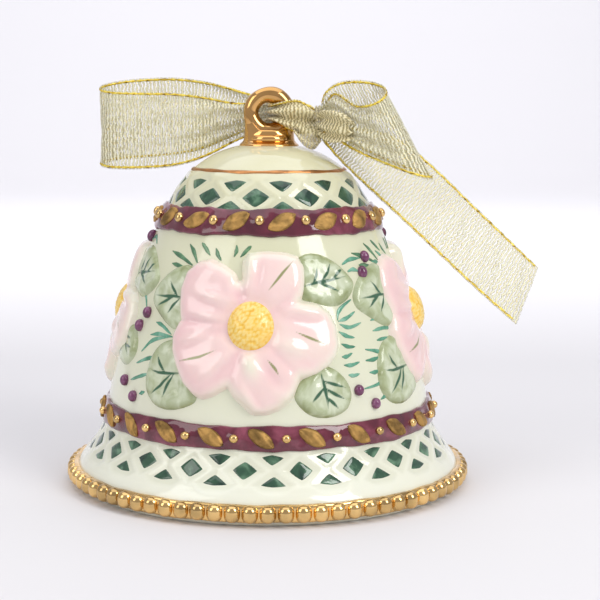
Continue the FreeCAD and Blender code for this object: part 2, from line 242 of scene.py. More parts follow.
def makePorcelainGlaze():
    material, tree, shader = startMaterial("creamPorcelain", (230, 226, 204), 0.10, coat=0.35)
    place = objectPlace(tree)
    parts = addNode(tree, "SeparateXYZ")
    tree.links.new(place, parts.inputs[0])
    height = stretched(tree, parts.outputs["Z"], 0.0, 0.067)
    base = ramped(tree, height, [
        (0.0, colour(236, 238, 224)), (0.2, colour(233, 235, 214)), (0.45, colour(222, 224, 196)),
        (0.72, colour(216, 217, 184)), (1.0, colour(210, 206, 166))])
    cloud = stretched(tree, noiseOf(tree, place, 55, 3), 0.4, 0.65)
    base = mixed(tree, computed(tree, "MULTIPLY", cloud, 0.35), base, colour(234, 233, 212))
    recessShade = painted(tree, "recessShade")  # painted shade: the glaze is darkened slightly in the trellis hollows
    base = mixed(tree, computed(tree, "MULTIPLY", recessShade, 0.35), base, colour(206, 208, 182))
    tree.links.new(base, shader.inputs["Base Color"])
    shader.inputs["Subsurface Weight"].default_value = 0.06
    shader.inputs["Subsurface Radius"].default_value = (0.002, 0.0018, 0.0012)
    roughen(tree, shader, noiseOf(tree, place, 260, 2), 0.05)
    return material


def makeFlatGlaze(name, base, dark, light, scale=300, roughness=0.1, waves=0.08):
    material, tree, shader = startMaterial(name, base, roughness, coat=0.5)
    place = objectPlace(tree)
    cloud = noiseOf(tree, place, scale, 4, 0.6)
    tone = ramped(tree, cloud, [(0.30, colour(*dark)), (0.52, colour(*base)), (0.72, colour(*light))])
    tree.links.new(tone, shader.inputs["Base Color"])
    roughen(tree, shader, noiseOf(tree, place, scale * 1.4, 2), waves)
    return material


def makePetalGlaze():
    material, tree, shader = startMaterial("blushPetal", (244, 214, 210), 0.12, coat=0.4)
    place = objectPlace(tree)
    # the petals' pink, with painted highlights on the raised mounds and painted shade in creases and hollows
    pinkAndPaintedLight = painted(tree, "pinkAndPaintedLight")
    cloud = noiseOf(tree, place, 130, 3)
    wash = computed(tree, "ADD", pinkAndPaintedLight, centred(tree, cloud, 0.5))
    tone = ramped(tree, wash, [(0.0, colour(238, 235, 214)), (0.30, colour(243, 228, 214)),
                               (0.65, colour(243, 215, 209)), (1.0, colour(238, 200, 200))])
    tone = mixed(tree, stretched(tree, painted(tree, "vein"), -0.05, 0.12), tone, colour(150, 152, 104))
    tree.links.new(tone, shader.inputs["Base Color"])
    shader.inputs["Subsurface Weight"].default_value = 0.08
    shader.inputs["Subsurface Radius"].default_value = (0.002, 0.0012, 0.001)
    roughen(tree, shader, noiseOf(tree, place, 220, 3), 0.10)
    return material


def makeLeafGlaze():
    material, tree, shader = startMaterial("sageLeaf", (176, 184, 146), 0.14, coat=0.4)
    place = objectPlace(tree)
    cloud = noiseOf(tree, place, 330, 5, 0.8)
    rim = painted(tree, "rim")
    wash = computed(tree, "MULTIPLY", cloud, 1.15)
    wash = computed(tree, "ADD", wash, computed(tree, "MULTIPLY", rim, 0.24))
    tone = ramped(tree, wash, [(0.22, colour(128, 138, 92)), (0.46, colour(154, 164, 118)),
                               (0.68, colour(180, 190, 152)), (0.92, colour(210, 218, 190))])
    tone = mixed(tree, stretched(tree, painted(tree, "vein"), -0.08, 0.10), tone, colour(58, 98, 72))
    tree.links.new(tone, shader.inputs["Base Color"])
    roughen(tree, shader, noiseOf(tree, place, 260, 4), 0.16)
    return material


def makeCentreGlaze():
    material, tree, shader = startMaterial("yellowCentre", (240, 196, 84), 0.25, coat=0.25)
    # painted highlights and shade: lighter yellow on the tops of the granules, deeper yellow between them
    tone = ramped(tree, painted(tree, "granuleLight"), [(0.0, colour(236, 178, 62)), (0.45, colour(246, 202, 84)),
                                                 (1.0, colour(252, 228, 150))])
    place = objectPlace(tree)
    tone = mixed(tree, stretched(tree, noiseOf(tree, place, 420, 3), 0.55, 0.75), tone, colour(250, 204, 96))
    tree.links.new(tone, shader.inputs["Base Color"])
    return material


def makeGold(name, base, roughness, scale, bumps, dark=0.75):
    material, tree, shader = startMaterial(name, base, roughness, metallic=1.0)
    place = objectPlace(tree)
    cloud = noiseOf(tree, place, scale, 3, 0.4)
    deep = tuple(int(part * dark) for part in base)
    tone = ramped(tree, cloud, [(0.35, colour(*deep)), (0.6, colour(*base))])
    tree.links.new(tone, shader.inputs["Base Color"])
    roughen(tree, shader, noiseOf(tree, place, scale * 1.6, 3), bumps)
    return material


clothLook = {"bar": 0.72, "thread": 0.40, "gold": (236, 204, 96)}


# Waves from 0 to 1 across a coordinate in centimetres, with their spacing in millimetres.
def threads(tree, place, spacing):
    wave = computed(tree, "SINE", computed(tree, "MULTIPLY", place, 20 * math.pi / spacing))
    return computed(tree, "ADD", computed(tree, "MULTIPLY", wave, 0.5), 0.5)


# Sheer cloth with cross bars; its UV runs along the ribbon in u and across it in v, in centimetres.
def makeOrganza(name, slit, thread, cloth, shade):
    material, tree, shader = startMaterial(name, cloth, 0.55)
    coords = addNode(tree, "TexCoord").outputs["UV"]
    parts = addNode(tree, "SeparateXYZ")
    tree.links.new(coords, parts.inputs[0])
    along, across = parts.outputs["X"], parts.outputs["Y"]
    wander = noiseOf(tree, coords, 9, 2)
    bent = computed(tree, "ADD", along, centred(tree, wander, 0.10))
    weave = computed(tree, "MULTIPLY", computed(tree, "SINE", computed(tree, "MULTIPLY", across, 42)), 0.006)
    bent = computed(tree, "ADD", bent, weave)
    bars = computed(tree, "MULTIPLY", threads(tree, bent, clothLook["bar"]), 0.78)
    warp = computed(tree, "MULTIPLY", threads(tree, across, clothLook["thread"]), 0.22)
    thickness = computed(tree, "ADD", bars, warp)
    speck = noiseOf(tree, coords, 75, 2, 1.0)
    thickness = computed(tree, "ADD", thickness, centred(tree, speck, 0.6))
    alpha = stretched(tree, thickness, 0.30, 0.52, slit, thread)
    tree.links.new(alpha, shader.inputs["Alpha"])
    glint = stretched(tree, noiseOf(tree, coords, 46, 1, 1.5), 0.62, 0.67)
    tone = mixed(tree, stretched(tree, thickness, 0.2, 0.9), colour(*shade), colour(*cloth))
    olive = stretched(tree, noiseOf(tree, coords, 62, 1, 1.2), 0.60, 0.66)
    tone = mixed(tree, computed(tree, "MULTIPLY", olive, 0.7), tone, colour(150, 138, 78))
    tone = mixed(tree, glint, tone, colour(*clothLook["gold"]))
    tree.links.new(tone, shader.inputs["Base Color"])
    tree.links.new(computed(tree, "MULTIPLY", glint, 0.9), shader.inputs["Metallic"])
    tree.links.new(stretched(tree, glint, 0, 1, 0.55, 0.22), shader.inputs["Roughness"])
    shader.inputs["Sheen Weight"].default_value = 0.3
    roughen(tree, shader, thickness, 0.5, 0.0002)
    return material


def makeGoldThread():
    material, tree, shader = startMaterial("goldEdgeThread", (226, 186, 60), 0.28, metallic=1.0)
    coords = addNode(tree, "TexCoord").outputs["UV"]
    paintedGlints = noiseOf(tree, coords, 11, 2, 0.5)
    # painted glints and shade: dark brown and bright yellow patches along the thread give its twisted look
    tone = ramped(tree, paintedGlints, [(0.36, colour(128, 96, 34)), (0.44, colour(232, 196, 72)),
                                (0.60, colour(252, 236, 112)), (0.68, colour(206, 170, 84))])
    tree.links.new(tone, shader.inputs["Base Color"])
    roughen(tree, shader, noiseOf(tree, coords, 60, 2), 0.6, 0.0002)
    return material


finish = {
    "cream": makePorcelainGlaze(),
    "maroon": makeFlatGlaze("maroonBand", (102, 34, 52), (78, 22, 40), (146, 72, 92), 200, 0.08, 0.12),
    "petal": makePetalGlaze(),
    "leaf": makeLeafGlaze(),
    "centre": makeCentreGlaze(),
    "berry": makeFlatGlaze("plumBerry", (112, 52, 92), (84, 36, 66), (146, 92, 128), 500, 0.06, 0.03),
    "diamond": makeFlatGlaze("bottleGreen", (52, 90, 66), (24, 54, 42), (112, 150, 120), 330, 0.07, 0.15),
    "stroke": makeFlatGlaze("brushGreen", (96, 160, 132), (66, 130, 100), (140, 190, 166), 420, 0.16, 0.05),
    "darkStroke": makeFlatGlaze("brushDarkGreen", (86, 132, 94), (62, 104, 74), (128, 164, 124),
                                420, 0.16, 0.05),
    "matteGold": makeGold("matteGold", (202, 162, 98), 0.60, 420, 0.8, 0.66),
    "brightGold": makeGold("mirrorGold", (246, 206, 138), 0.13, 130, 0.14, 0.80),
    "ringGold": makeGold("lustreGold", (234, 182, 114), 0.08, 90, 0.08, 0.84),
    "lineGold": makeGold("thinGoldLine", (206, 144, 92), 0.3, 500, 0.3, 0.8),
    "wire": makeGold("brassWire", (206, 168, 92), 0.3, 300, 0.25),
    "cement": makeFlatGlaze("paleCement", (206, 200, 186), (180, 174, 160), (222, 218, 206), 600, 0.85, 0.9),
    "clapper": makeFlatGlaze("clapperPorcelain", (238, 236, 222), (226, 224, 206), (246, 245, 236),
                             150, 0.12, 0.05),
    "organza": makeOrganza("sheerOrganza", 0.04, 0.90, (253, 252, 228), (176, 166, 100)),
    "gathered": makeOrganza("gatheredOrganza", 0.40, 1.0, (250, 242, 206), (206, 192, 134)),
    "thread": makeGoldThread(),
}
print("finishes ready")


outlineCorners = [(0, 37.5), (2.2, 37.75), (4.4, 37.5), (7.0, 35.4), (9.4, 33.75), (12, 32.55), (14.6, 31.9),
                  (17.2, 31.55), (26, 30.0), (35, 27.6), (44, 24.7), (50, 22.2), (55, 19.8), (59.4, 17.0),
                  (61.5, 15.05), (64.4, 10.8), (66.0, 6.4), (66.4, 4.0)]


# A smooth line through points of any size, with the given number of steps between each two.
def smoothLine(points, steps):
    points = [np.array(p, float) for p in points]
    points = [2 * points[0] - points[1]] + points + [2 * points[-1] - points[-2]]
    line = []
    for a, b, c, d in zip(points, points[1:], points[2:], points[3:]):
        for i in range(steps):
            t = i / steps
            line.append(0.5 * (2 * b + (c - a) * t + (2 * a - 5 * b + 4 * c - d) * t * t
                               + (3 * b - a - 3 * c + d) * t ** 3))
    line.append(points[-2])
    return np.array(line)


outline = smoothLine(outlineCorners, 8)
outlineSlope = np.gradient(outline[:, 1], outline[:, 0])


def bellRadius(height):
    return np.interp(height, outline[:, 0], outline[:, 1])


# Places in metres on the bell; angle in radians from the front towards +X, the rest in millimetres.
def onBell(angle, height, lift):
    slope = np.interp(height, outline[:, 0], outlineSlope)
    steep = np.sqrt(1 + slope ** 2)
    radius = bellRadius(height) + lift / steep
    z = height - lift * slope / steep
    return np.stack([radius * np.sin(angle), -radius * np.cos(angle), z], axis=-1) * mm


def coordsOf(piece):
    values = np.empty(len(piece.data.vertices) * 3)
    piece.data.vertices.foreach_get("co", values)
    return values.reshape(-1, 3)


def setCoords(piece, values):
    piece.data.vertices.foreach_set("co", np.ascontiguousarray(values, float).ravel())
    piece.data.update()


def paint(piece, name, values):
    layer = piece.data.attributes.get(name) or piece.data.attributes.new(name, "FLOAT", "POINT")
    layer.data.foreach_set("value", np.ascontiguousarray(values, np.float32).ravel())


def pick(piece):
    deselect()
    piece.select_set(True)
    bpy.context.view_layer.objects.active = piece


def rightWayOut(piece):
    pick(piece)
    bpy.ops.object.mode_set(mode="EDIT")
    bpy.ops.mesh.select_all(action="SELECT")
    bpy.ops.mesh.remove_doubles(threshold=0.000001)
    bpy.ops.mesh.normals_make_consistent(inside=False)
    bpy.ops.object.mode_set(mode="OBJECT")


def thicken(piece, thickness, offset=-1.0):
    pick(piece)
    wall = piece.modifiers.new("wall", "SOLIDIFY")
    wall.thickness = thickness * mm
    wall.offset = offset
    bpy.ops.object.modifier_apply(modifier="wall")


def finishPiece(piece, name, material, body, replaced=()):
    piece.name = name
    piece.data.name = name
    piece.data.materials.clear()
    piece.data.materials.append(finish[material])
    pick(piece)
    bpy.ops.object.shade_smooth()
    if body:
        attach(piece, body)
    if replaced:
        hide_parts(*replaced)


def newGrid(across, up):
    deselect()
    bpy.ops.mesh.primitive_grid_add(x_subdivisions=across, y_subdivisions=up, size=2)
    return bpy.context.object


# Takes a small shape's points and faces and removes it, so that it can be copied onto the bell.
def template(piece):
    points = coordsOf(piece)
    faces = [tuple(face.vertices) for face in piece.data.polygons]
    bpy.data.objects.remove(piece)
    return points, faces


# One mesh from many (points, faces), each a copy with its own place.
def copyAll(name, shapes):
    points, faces, base = [], [], 0
    for places, sides in shapes:
        points.append(places)
        faces += [tuple(base + index for index in side) for side in sides]
        base += len(places)
    mesh = bpy.data.meshes.new(name)
    mesh.from_pydata(np.concatenate(points).tolist(), [], faces)
    piece = bpy.data.objects.new(name, mesh)
    bpy.context.scene.collection.objects.link(piece)
    return piece


# Turns a closed section, as (radius, height) in millimetres, about the bell's axis.
def spunRing(section, steps):
    deselect()
    bpy.ops.mesh.primitive_circle_add(vertices=len(section), radius=1, fill_type="NOTHING")
    piece = bpy.context.object
    for vertex, (radius, height) in zip(piece.data.vertices, section):
        vertex.co = (0, -radius * mm, height * mm)
    bpy.ops.object.mode_set(mode="EDIT")
    bpy.ops.mesh.select_all(action="SELECT")
    bpy.ops.mesh.spin(steps=steps, angle=2 * math.pi, center=(0, 0, 0), axis=(0, 0, 1))
    bpy.ops.object.mode_set(mode="OBJECT")
    rightWayOut(piece)
    return piece


# Powers below 1 square a round section off, keeping its sign.
def squared(value, power):
    return np.sign(value) * np.abs(value) ** power


# A plain hoop, with each point's angle round the bell and its turn round the hoop's own section.
def newHoop(around, section, thickness):
    deselect()
    bpy.ops.mesh.primitive_torus_add(major_segments=around, minor_segments=section, major_radius=1.0,
                                     minor_radius=thickness)
    hoop = bpy.context.object
    places = coordsOf(hoop)
    angle = np.arctan2(places[:, 0], -places[:, 1])
    turn = np.arctan2(places[:, 2], np.hypot(places[:, 0], places[:, 1]) - 1.0)  # 0 outwards, 90 degrees up
    return hoop, angle, turn


def smoothstep(low, high, value):
    share = np.clip((value - low) / (high - low), 0, 1)
    return share * share * (3 - 2 * share)


trellis = {
    "lower": {"count": 21, "start": -7.0, "rows": [(9.2, 0.0), (11.55, 0.5), (6.9, 0.5)], "halfWidth": 4.9,
              "halfHeight": 1.9, "low": 5.6, "high": 12.6, "depth": 0.42},
    "upper": {"count": 12, "start": -7.5, "rows": [(57.1, 0.0), (59.9, 0.5), (54.9, 0.5)], "halfWidth": 9.8,
              "halfHeight": 2.1, "low": 54.5, "high": 61.3, "depth": 0.42},
}
# rings: from, to and spacing of the rings of points, closest where the trellis is
shellPlan = {"steps": 512, "wall": 3.0, "pegHole": 1.5, "mouthInside": 34.75,
             "rings": [(1.5, 5.4, 0.65), (5.6, 12.7, 0.34), (13.4, 54.2, 1.2), (54.5, 61.6, 0.38)]}


# 1 in the middle of the nearest diamond, 0 at its edge, below 0 outside.
def diamondShare(plan, angle, height):
    best = np.full(np.shape(angle), -9.0)
    pitch = 2 * math.pi / plan["count"]
    for middle, shift in plan["rows"]:
        across = (angle - math.radians(plan["start"])) / pitch - shift
        across = (across - np.round(across)) * pitch / math.radians(plan["halfWidth"])
        up = (height - middle) / plan["halfHeight"]
        best = np.maximum(best, 1 - np.abs(across) - np.abs(up))
    return best


def trellisLift(angle, height):
    lift = np.zeros(np.shape(angle))
    hollow = np.zeros(np.shape(angle))
    for plan in trellis.values():
        inside = smoothstep(plan["low"], plan["low"] + 0.7, height) * (
            1 - smoothstep(plan["high"] - 0.5, plan["high"], height))
        share = diamondShare(plan, angle, height)
        sunk = smoothstep(-0.45, 0.15, share)
        ridge = np.exp(-((share + 0.62) / 0.28) ** 2)
        lift += inside * (plan["depth"] * (0.10 * ridge - 0.45 * sunk) + 0.06)
        # hollow marks the trellis hollows, where the cream glaze is darkened as painted shade
        hollow += inside * smoothstep(-0.5, -0.1, share)
    return lift, hollow


def plainWaves(angle, height):
    soft = 0.12 * np.sin(angle * 3 + 1) * np.sin(height / 9) + 0.07 * np.sin(angle * 7 + height / 6)
    return soft * smoothstep(18, 24, height) * (1 - smoothstep(44, 48, height))


def makeShell():
    foot = [(35.5, 0.0), (36.9, 0.0), (37.35, 0.12), (37.55, 0.45), (37.6, 0.9)]
    heights = []
    for start, end, step in shellPlan["rings"]:
        heights += list(np.arange(start, end, step))
    heights += [62.1, 62.8, 63.5, 64.2, 64.8, 65.3, 65.7, 66.0]
    wallHeights = [60.5, 57, 53, 48, 42, 35, 27, 20, 15, 11.5, 8, 5, 2, 0.5]
    hole = shellPlan["pegHole"]
    ring = foot + [(float(bellRadius(z)), z) for z in heights]
    ring += [(5.2, 66.22), (4.0, 66.35), (2.6, 66.38), (hole, 66.38), (hole, 63.4), (4.0, 63.4), (6.2, 63.0)]
    for z in wallHeights:
        slope = np.interp(z, outline[:, 0], outlineSlope)
        ring.append((float(bellRadius(z)) - shellPlan["wall"] * math.sqrt(1 + slope ** 2), z))
    ring[-1] = (shellPlan["mouthInside"], wallHeights[-1])
    shell = spunRing(ring, shellPlan["steps"])
    places = coordsOf(shell) / mm
    radius = np.hypot(places[:, 0], places[:, 1])
    angle = np.arctan2(places[:, 0], -places[:, 1])
    outside = radius > bellRadius(places[:, 2]) - 0.6
    lift, hollow = trellisLift(angle, places[:, 2])
    lift = np.where(outside, lift + plainWaves(angle, places[:, 2]), 0)
    moved = onBell(angle, places[:, 2], lift)
    keep = outside & (places[:, 2] > 5) & (places[:, 2] < 62)
    setCoords(shell, np.where(keep[:, None], moved, places * mm))
    # painted shade for the trellis hollows
    paint(shell, "recessShade", np.where(keep, hollow, 0))
    finishPiece(shell, "glazedShell", "cream", "bell", ["bell_shell"])


makeShell()
print("shell ready")


# Hand-painted green diamonds in the hollows of the trellis, each a low dome of glaze.
def makeDiamonds():
    shapes = []
    points, faces = template(newGrid(10, 10))
    for plan in trellis.values():
        pitch = 360 / plan["count"]
        for row, (middle, shift) in enumerate(plan["rows"]):
            for number in range(plan["count"]):
                centre = math.radians(plan["start"] + (number + shift) * pitch)
                wide = math.radians(plan["halfWidth"]) * random.uniform(0.86, 1.0)
                tall = plan["halfHeight"] * random.uniform(0.88, 1.04)
                bottom = tall if row < 2 else 0.25
                top = 0.35 if row == 1 else tall
                if row:
                    wide *= 0.94
                corners = [(-wide, random.uniform(-0.18, 0.18)),
                           (random.uniform(-0.12, 0.12) * wide, -bottom),
                           (wide, random.uniform(-0.18, 0.18)),
                           (random.uniform(-0.12, 0.12) * wide, top)]
                s, t = (points[:, 0] + 1) / 2, (points[:, 1] + 1) / 2
                left, low, right, high = (np.array(corner) for corner in corners)
                s = 0.5 + (s - 0.5) * (1 - 0.09 * (2 * t - 1) ** 2)
                t = 0.5 + (t - 0.5) * (1 - 0.09 * (2 * s - 1) ** 2)
                flat = (np.outer((1 - s) * (1 - t), left) + np.outer(s * (1 - t), low)
                        + np.outer(s * t, right) + np.outer((1 - s) * t, high))
                rim = np.minimum(1 - np.abs(points[:, 0]), 1 - np.abs(points[:, 1]))
                lift, _ = trellisLift(centre + flat[:, 0], middle + flat[:, 1])
                puff = 0.16 * np.sqrt(np.clip(rim * 2.2, 0, 1)) - 0.05
                shapes.append((onBell(centre + flat[:, 0], middle + flat[:, 1], lift + puff), faces))
    diamonds = copyAll("greenDiamonds", shapes)
    thicken(diamonds, 0.3)
    finishPiece(diamonds, "greenDiamonds", "diamond", "bell")


makeDiamonds()


bands = {
    "upper_band": {"low": 50.2, "high": 54.9, "count": 16, "leafStart": 6.5, "leafLength": 5.5,
                   "leafWidth": 2.9, "lean": 25, "rise": 0.75, "beadRadius": 0.84},
    "lower_band": {"low": 12.4, "high": 16.8, "count": 22, "leafStart": -2.3, "leafLength": 5.8,
                   "leafWidth": 3.0, "lean": -35, "rise": 0.75, "beadRadius": 0.84},
}


def makeBand(name, plan):
    band, angle, turn = newHoop(880, 40, 0.25)
    middle = (plan["low"] + plan["high"]) / 2
    tall = (plan["high"] - plan["low"]) / 2
    edge = 0.13 * np.sin(angle * 9 + 1) + 0.08 * np.sin(angle * 23 + 2) + 0.05 * np.sin(angle * 41)
    side = squared(np.sin(turn), 0.75)
    height = middle + side * tall + side * edge
    face = np.clip(np.cos(turn), 0, 1)
    pitch = 2 * math.pi / plan["count"]
    nearBead = (angle - math.radians(plan["leafStart"])) / pitch - 0.5
    nearBead = (nearBead - np.round(nearBead)) * pitch * bellRadius(middle)
    up = height - middle
    mound = np.exp(-(nearBead / 1.25) ** 2) * np.exp(-(up / 1.25) ** 2)
    nearLeaf = (angle - math.radians(plan["leafStart"])) / pitch
    nearLeaf = (nearLeaf - np.round(nearLeaf)) * pitch * bellRadius(middle)
    lean = math.radians(plan["lean"])
    along = nearLeaf * math.cos(lean) + up * math.sin(lean)
    off = -nearLeaf * math.sin(lean) + up * math.cos(lean)
    cushion = np.exp(-(along / 3.3) ** 4) * np.exp(-(off / 1.9) ** 2)
    swell = face * (0.55 * mound + 0.22 * cushion - 0.12)
    lift = np.where(face > 0, plan["rise"] * face ** 0.35 + swell, -0.4)
    setCoords(band, onBell(angle, height, lift))
    finishPiece(band, name.replace("_band", "MaroonBand"), "maroon", "bell", [name])

    points, faces = template(newGrid(18, 10))
    shapes = []
    for number in range(plan["count"]):
        centre = math.radians(plan["leafStart"]) + number * pitch
        length = plan["leafLength"] / 2 * random.uniform(0.94, 1.05)
        width = plan["leafWidth"] / 2 * random.uniform(0.92, 1.06)
        tilt = lean + math.radians(random.uniform(-6, 6))
        s, t = points[:, 0], points[:, 1]
        pointed = np.clip(1 - np.abs(s) ** 2.1, 0, 1) ** 0.75
        x = s * length
        y = t * width * pointed + 0.25 * (1 - s * s) * random.uniform(-0.5, 0.5)
        dome = np.sqrt(np.clip(1 - t * t, 0, 1)) * pointed ** 0.5
        lift = plan["rise"] + 0.05 + 0.52 * dome + 0.08 * np.sin(5 * s + 7 * t + number)
        across = (x * math.cos(tilt) - y * math.sin(tilt)) / bellRadius(middle)
        rise = x * math.sin(tilt) + y * math.cos(tilt)
        shapes.append((onBell(centre + across, middle + rise, lift), faces))
    leaves = copyAll(name + "Leaves", shapes)
    thicken(leaves, 0.3)
    rightWayOut(leaves)
    finishPiece(leaves, name.replace("_band", "GoldLeaves"), "matteGold", "bell",
                [name + "_leaves"])

    deselect()
    bpy.ops.mesh.primitive_uv_sphere_add(segments=20, ring_count=12, radius=plan["beadRadius"])
    points, faces = template(bpy.context.object)
    shapes = []
    for number in range(plan["count"]):
        centre = math.radians(plan["leafStart"]) + (number + 0.5) * pitch + random.uniform(-0.006, 0.006)
        rise = random.uniform(-0.15, 0.15)
        shapes.append((onBell(centre + points[:, 0] / bellRadius(middle), middle + rise + points[:, 2],
                              plan["rise"] + 0.52 + points[:, 1] * -0.85), faces))
    beads = copyAll(name + "Beads", shapes)
    rightWayOut(beads)
    finishPiece(beads, name.replace("_band", "GoldBeads"), "brightGold", "bell",
                [name + "_beads"])


for bandName, bandPlan in bands.items():
    makeBand(bandName, bandPlan)
print("bands ready")


rimPlan = {"count": 76, "reach": 40.0, "low": 0.85, "high": 4.1, "gap": 0.03, "flangeRadius": 38.15,
           "flangeHalf": 0.6}
linePlan = {"height": 61.6, "half": 0.25, "rise": 0.16, "bed": 0.02}


def makeBeading():
    half = math.pi / rimPlan["count"]
    centreRadius = rimPlan["reach"] / (1 + math.sin(half))
    beadRadius = centreRadius * math.sin(half) - rimPlan["gap"]
    middle = (rimPlan["low"] + rimPlan["high"]) / 2
    tall = (rimPlan["high"] - rimPlan["low"]) / 2
    deselect()
    bpy.ops.mesh.primitive_uv_sphere_add(segments=22, ring_count=16, radius=1.0)
    points, faces = template(bpy.context.object)
    flat = np.hypot(points[:, 0], points[:, 1])
    around = np.arctan2(points[:, 0], -points[:, 1])
    plump = np.clip(1 - np.abs(points[:, 2]) ** 2.8, 0, 1) ** 0.46
    flat = np.where(flat > 0, plump, 0) * beadRadius
    shapes = []
    for number in range(rimPlan["count"]):
        angle = 2 * half * number
        grow = random.uniform(0.985, 1.0)
        x = flat * np.sin(around) * grow
        y = -centreRadius - flat * np.cos(around) * grow
        z = middle + points[:, 2] * tall * random.uniform(0.97, 1.02) + random.uniform(-0.05, 0.05)
        turned = np.stack([x * math.cos(angle) - y * math.sin(angle),
                           x * math.sin(angle) + y * math.cos(angle), z], axis=-1)
        shapes.append((turned * mm, faces))
    beads = copyAll("rimBeads", shapes)
    rightWayOut(beads)
    finishPiece(beads, "giltRimBeads", "brightGold", "bell", ["rim_beading"])
    flange, angle, turn = newHoop(304, 20, 0.2)
    radius = rimPlan["flangeRadius"] + rimPlan["flangeHalf"] * squared(np.cos(turn), 0.5)
    edge = 0.06 * np.sin(angle * 31) + 0.05 * np.sin(angle * 17)
    height = middle + (tall - 0.02) * squared(np.sin(turn), 0.4) + edge
    setCoords(flange, np.stack([radius * np.sin(angle), -radius * np.cos(angle), height], axis=-1) * mm)
    finishPiece(flange, "giltRimFlange", "brightGold", "bell")


def makeGoldLine():
    line, angle, turn = newHoop(256, 12, 0.2)
    height = linePlan["height"] + 0.05 * np.sin(angle * 5)
    height += (linePlan["half"] + 0.05 * np.sin(angle * 13)) * np.sin(turn)
    setCoords(line, onBell(angle, height, linePlan["rise"] * np.cos(turn) + linePlan["bed"]))
    finishPiece(line, "thinGoldLine", "lineGold", "bell")


makeBeading()
makeGoldLine()
print("gilding ready")


flowerPlan = {"turn": -6.5, "height": 34.4, "radius": 28.0, "step": 0.27, "rise": 1.55, "roundness": 2.4}
petalOutlines = [
    [(0, 0), (-14.1, 0.5), (-14.8, 2.8), (-15.4, 5.8), (-14.6, 9.2), (-12.2, 11.0), (-9.3, 11.5),
     (-6.2, 10.5), (-3.6, 9.0), (-3.0, 7.6)],
    [(0, 0), (-2.0, 8.0), (-2.3, 11.4), (-1.2, 12.8), (2.8, 13.1), (6.8, 12.9), (9.4, 12.2), (10.7, 10.4),
     (10.6, 7.9), (10.0, 5.4), (9.0, 4.4)],
    [(0, 0), (9.2, 4.3), (12.8, 3.7), (14.8, 2.2), (15.9, -0.4), (16.0, -3.7), (15.1, -5.9), (13.4, -7.5),
     (11.2, -8.7), (8.3, -9.4)],
    [(0, 0), (8.6, -9.1), (7.8, -11.3), (6.9, -13.1), (4.9, -14.7), (2.9, -15.5), (0.7, -15.6),
     (-0.8, -14.3), (-2.6, -12.5), (-3.6, -10.8)],
    [(0, 0), (-3.6, -10.9), (-5.9, -12.5), (-7.8, -13.2), (-9.6, -12.7), (-11.7, -10.9), (-13.4, -8.1),
     (-14.8, -5.2), (-15.2, -2.4), (-14.2, 0.2)],
]
# across, up, half length, half width, direction, rise
petalBulges = [
    (-7.2, 4.6, 3.6, 1.0, -14, 0.55), (-7.4, 1.0, 2.9, 1.0, -8, 0.55), (-10.2, -2.6, 2.6, 1.0, 22, 0.42),
    (-9.6, 8.0, 3.2, 1.6, 36, 0.25), (-0.6, 10.4, 2.6, 0.8, 84, 0.50), (1.4, 9.0, 3.4, 0.8, 80, -0.35),
    (6.6, 9.0, 3.6, 2.2, 60, 0.28), (9.2, 2.6, 4.2, 0.8, -6, 0.40), (8.6, 0.9, 4.2, 0.8, -8, -0.32),
    (12.2, -3.6, 2.6, 2.4, 0, 0.22), (6.9, -3.9, 2.3, 1.4, -22, 0.62), (9.4, -6.6, 3.2, 1.0, -28, -0.25),
    (0.2, -7.0, 2.8, 1.15, -66, 0.60), (3.6, -8.6, 2.8, 0.8, -58, -0.35),
    (-5.6, -7.6, 3.6, 1.0, 48, 0.40), (-3.8, -7.2, 3.4, 0.7, 52, -0.35), (-9.0, -7.2, 3.0, 2.2, 30, 0.22),
    (5.8, -12.4, 2.0, 1.2, -40, 0.35), (-0.2, -12.6, 2.4, 0.8, -60, 0.38),
    (1.6, -13.2, 2.2, 0.6, -60, -0.25), (-2.4, 4.8, 2.6, 0.7, 118, -0.30),
    (5.0, 3.4, 3.0, 0.7, 32, -0.30), (-5.4, -1.4, 3.2, 0.7, 6, -0.30)]
petalVeins = [[(3.1, 6.0), (5.8, 9.0), (8.2, 11.3)], [(-12.1, -6.9), (-8.4, -5.9), (-5.4, -4.4)],
              [(3.0, -5.9), (4.2, -7.4), (5.0, -8.9)], [(7.9, -1.2), (10.6, -2.5), (13.4, -3.8)]]


# Distance from flat places to a line of points, and how far along the line the nearest point is.
def distanceTo(places, line):
    best = np.full(len(places), 1e9)
    share = np.zeros(len(places))
    for number, (a, b) in enumerate(zip(line, line[1:])):
        a, run = np.array(a, float), np.array(b, float) - np.array(a, float)
        t = np.clip(((places - a) @ run) / (run @ run), 0, 1)
        gap = np.linalg.norm(places - a - t[:, None] * run, axis=1)
        nearer = gap < best
        best = np.where(nearer, gap, best)
        share = np.where(nearer, (number + t) / (len(line) - 1), share)
    return best, share


# Distance in from a closed outline, negative outside it.
def insideDistance(places, corners):
    gap, _ = distanceTo(places, list(corners) + [corners[0]])
    inside = np.zeros(len(places), bool)
    for (x0, y0), (x1, y1) in zip(corners, list(corners[1:]) + [corners[0]]):
        crosses = (y0 > places[:, 1]) != (y1 > places[:, 1])
        with np.errstate(divide="ignore", invalid="ignore"):
            at = (x1 - x0) * (places[:, 1] - y0) / (y1 - y0) + x0
        inside ^= crosses & (places[:, 0] < at)
    return np.where(inside, gap, -gap)


def rounded(distance, width):
    return np.sqrt(1 - (1 - np.clip(distance / width, 0, 1)) ** 2)


# Above 0 inside a tapered brush line.
def strokeDepth(places, lines, wide):
    best = np.full(len(places), -9.0)
    for line in lines:
        gap, share = distanceTo(places, line)
        best = np.maximum(best, wide * (1.02 - 0.85 * np.abs(2 * share - 0.9) ** 1.6) - gap)
    return best


def softened(values, rows, columns, times):
    field = values.reshape(rows, columns)
    for _ in range(times):
        edge = np.pad(field, 1, mode="edge")
        field = (edge[:-2, 1:-1] + edge[2:, 1:-1] + edge[1:-1, :-2] + edge[1:-1, 2:] + 4 * field) / 8
    return field.ravel()


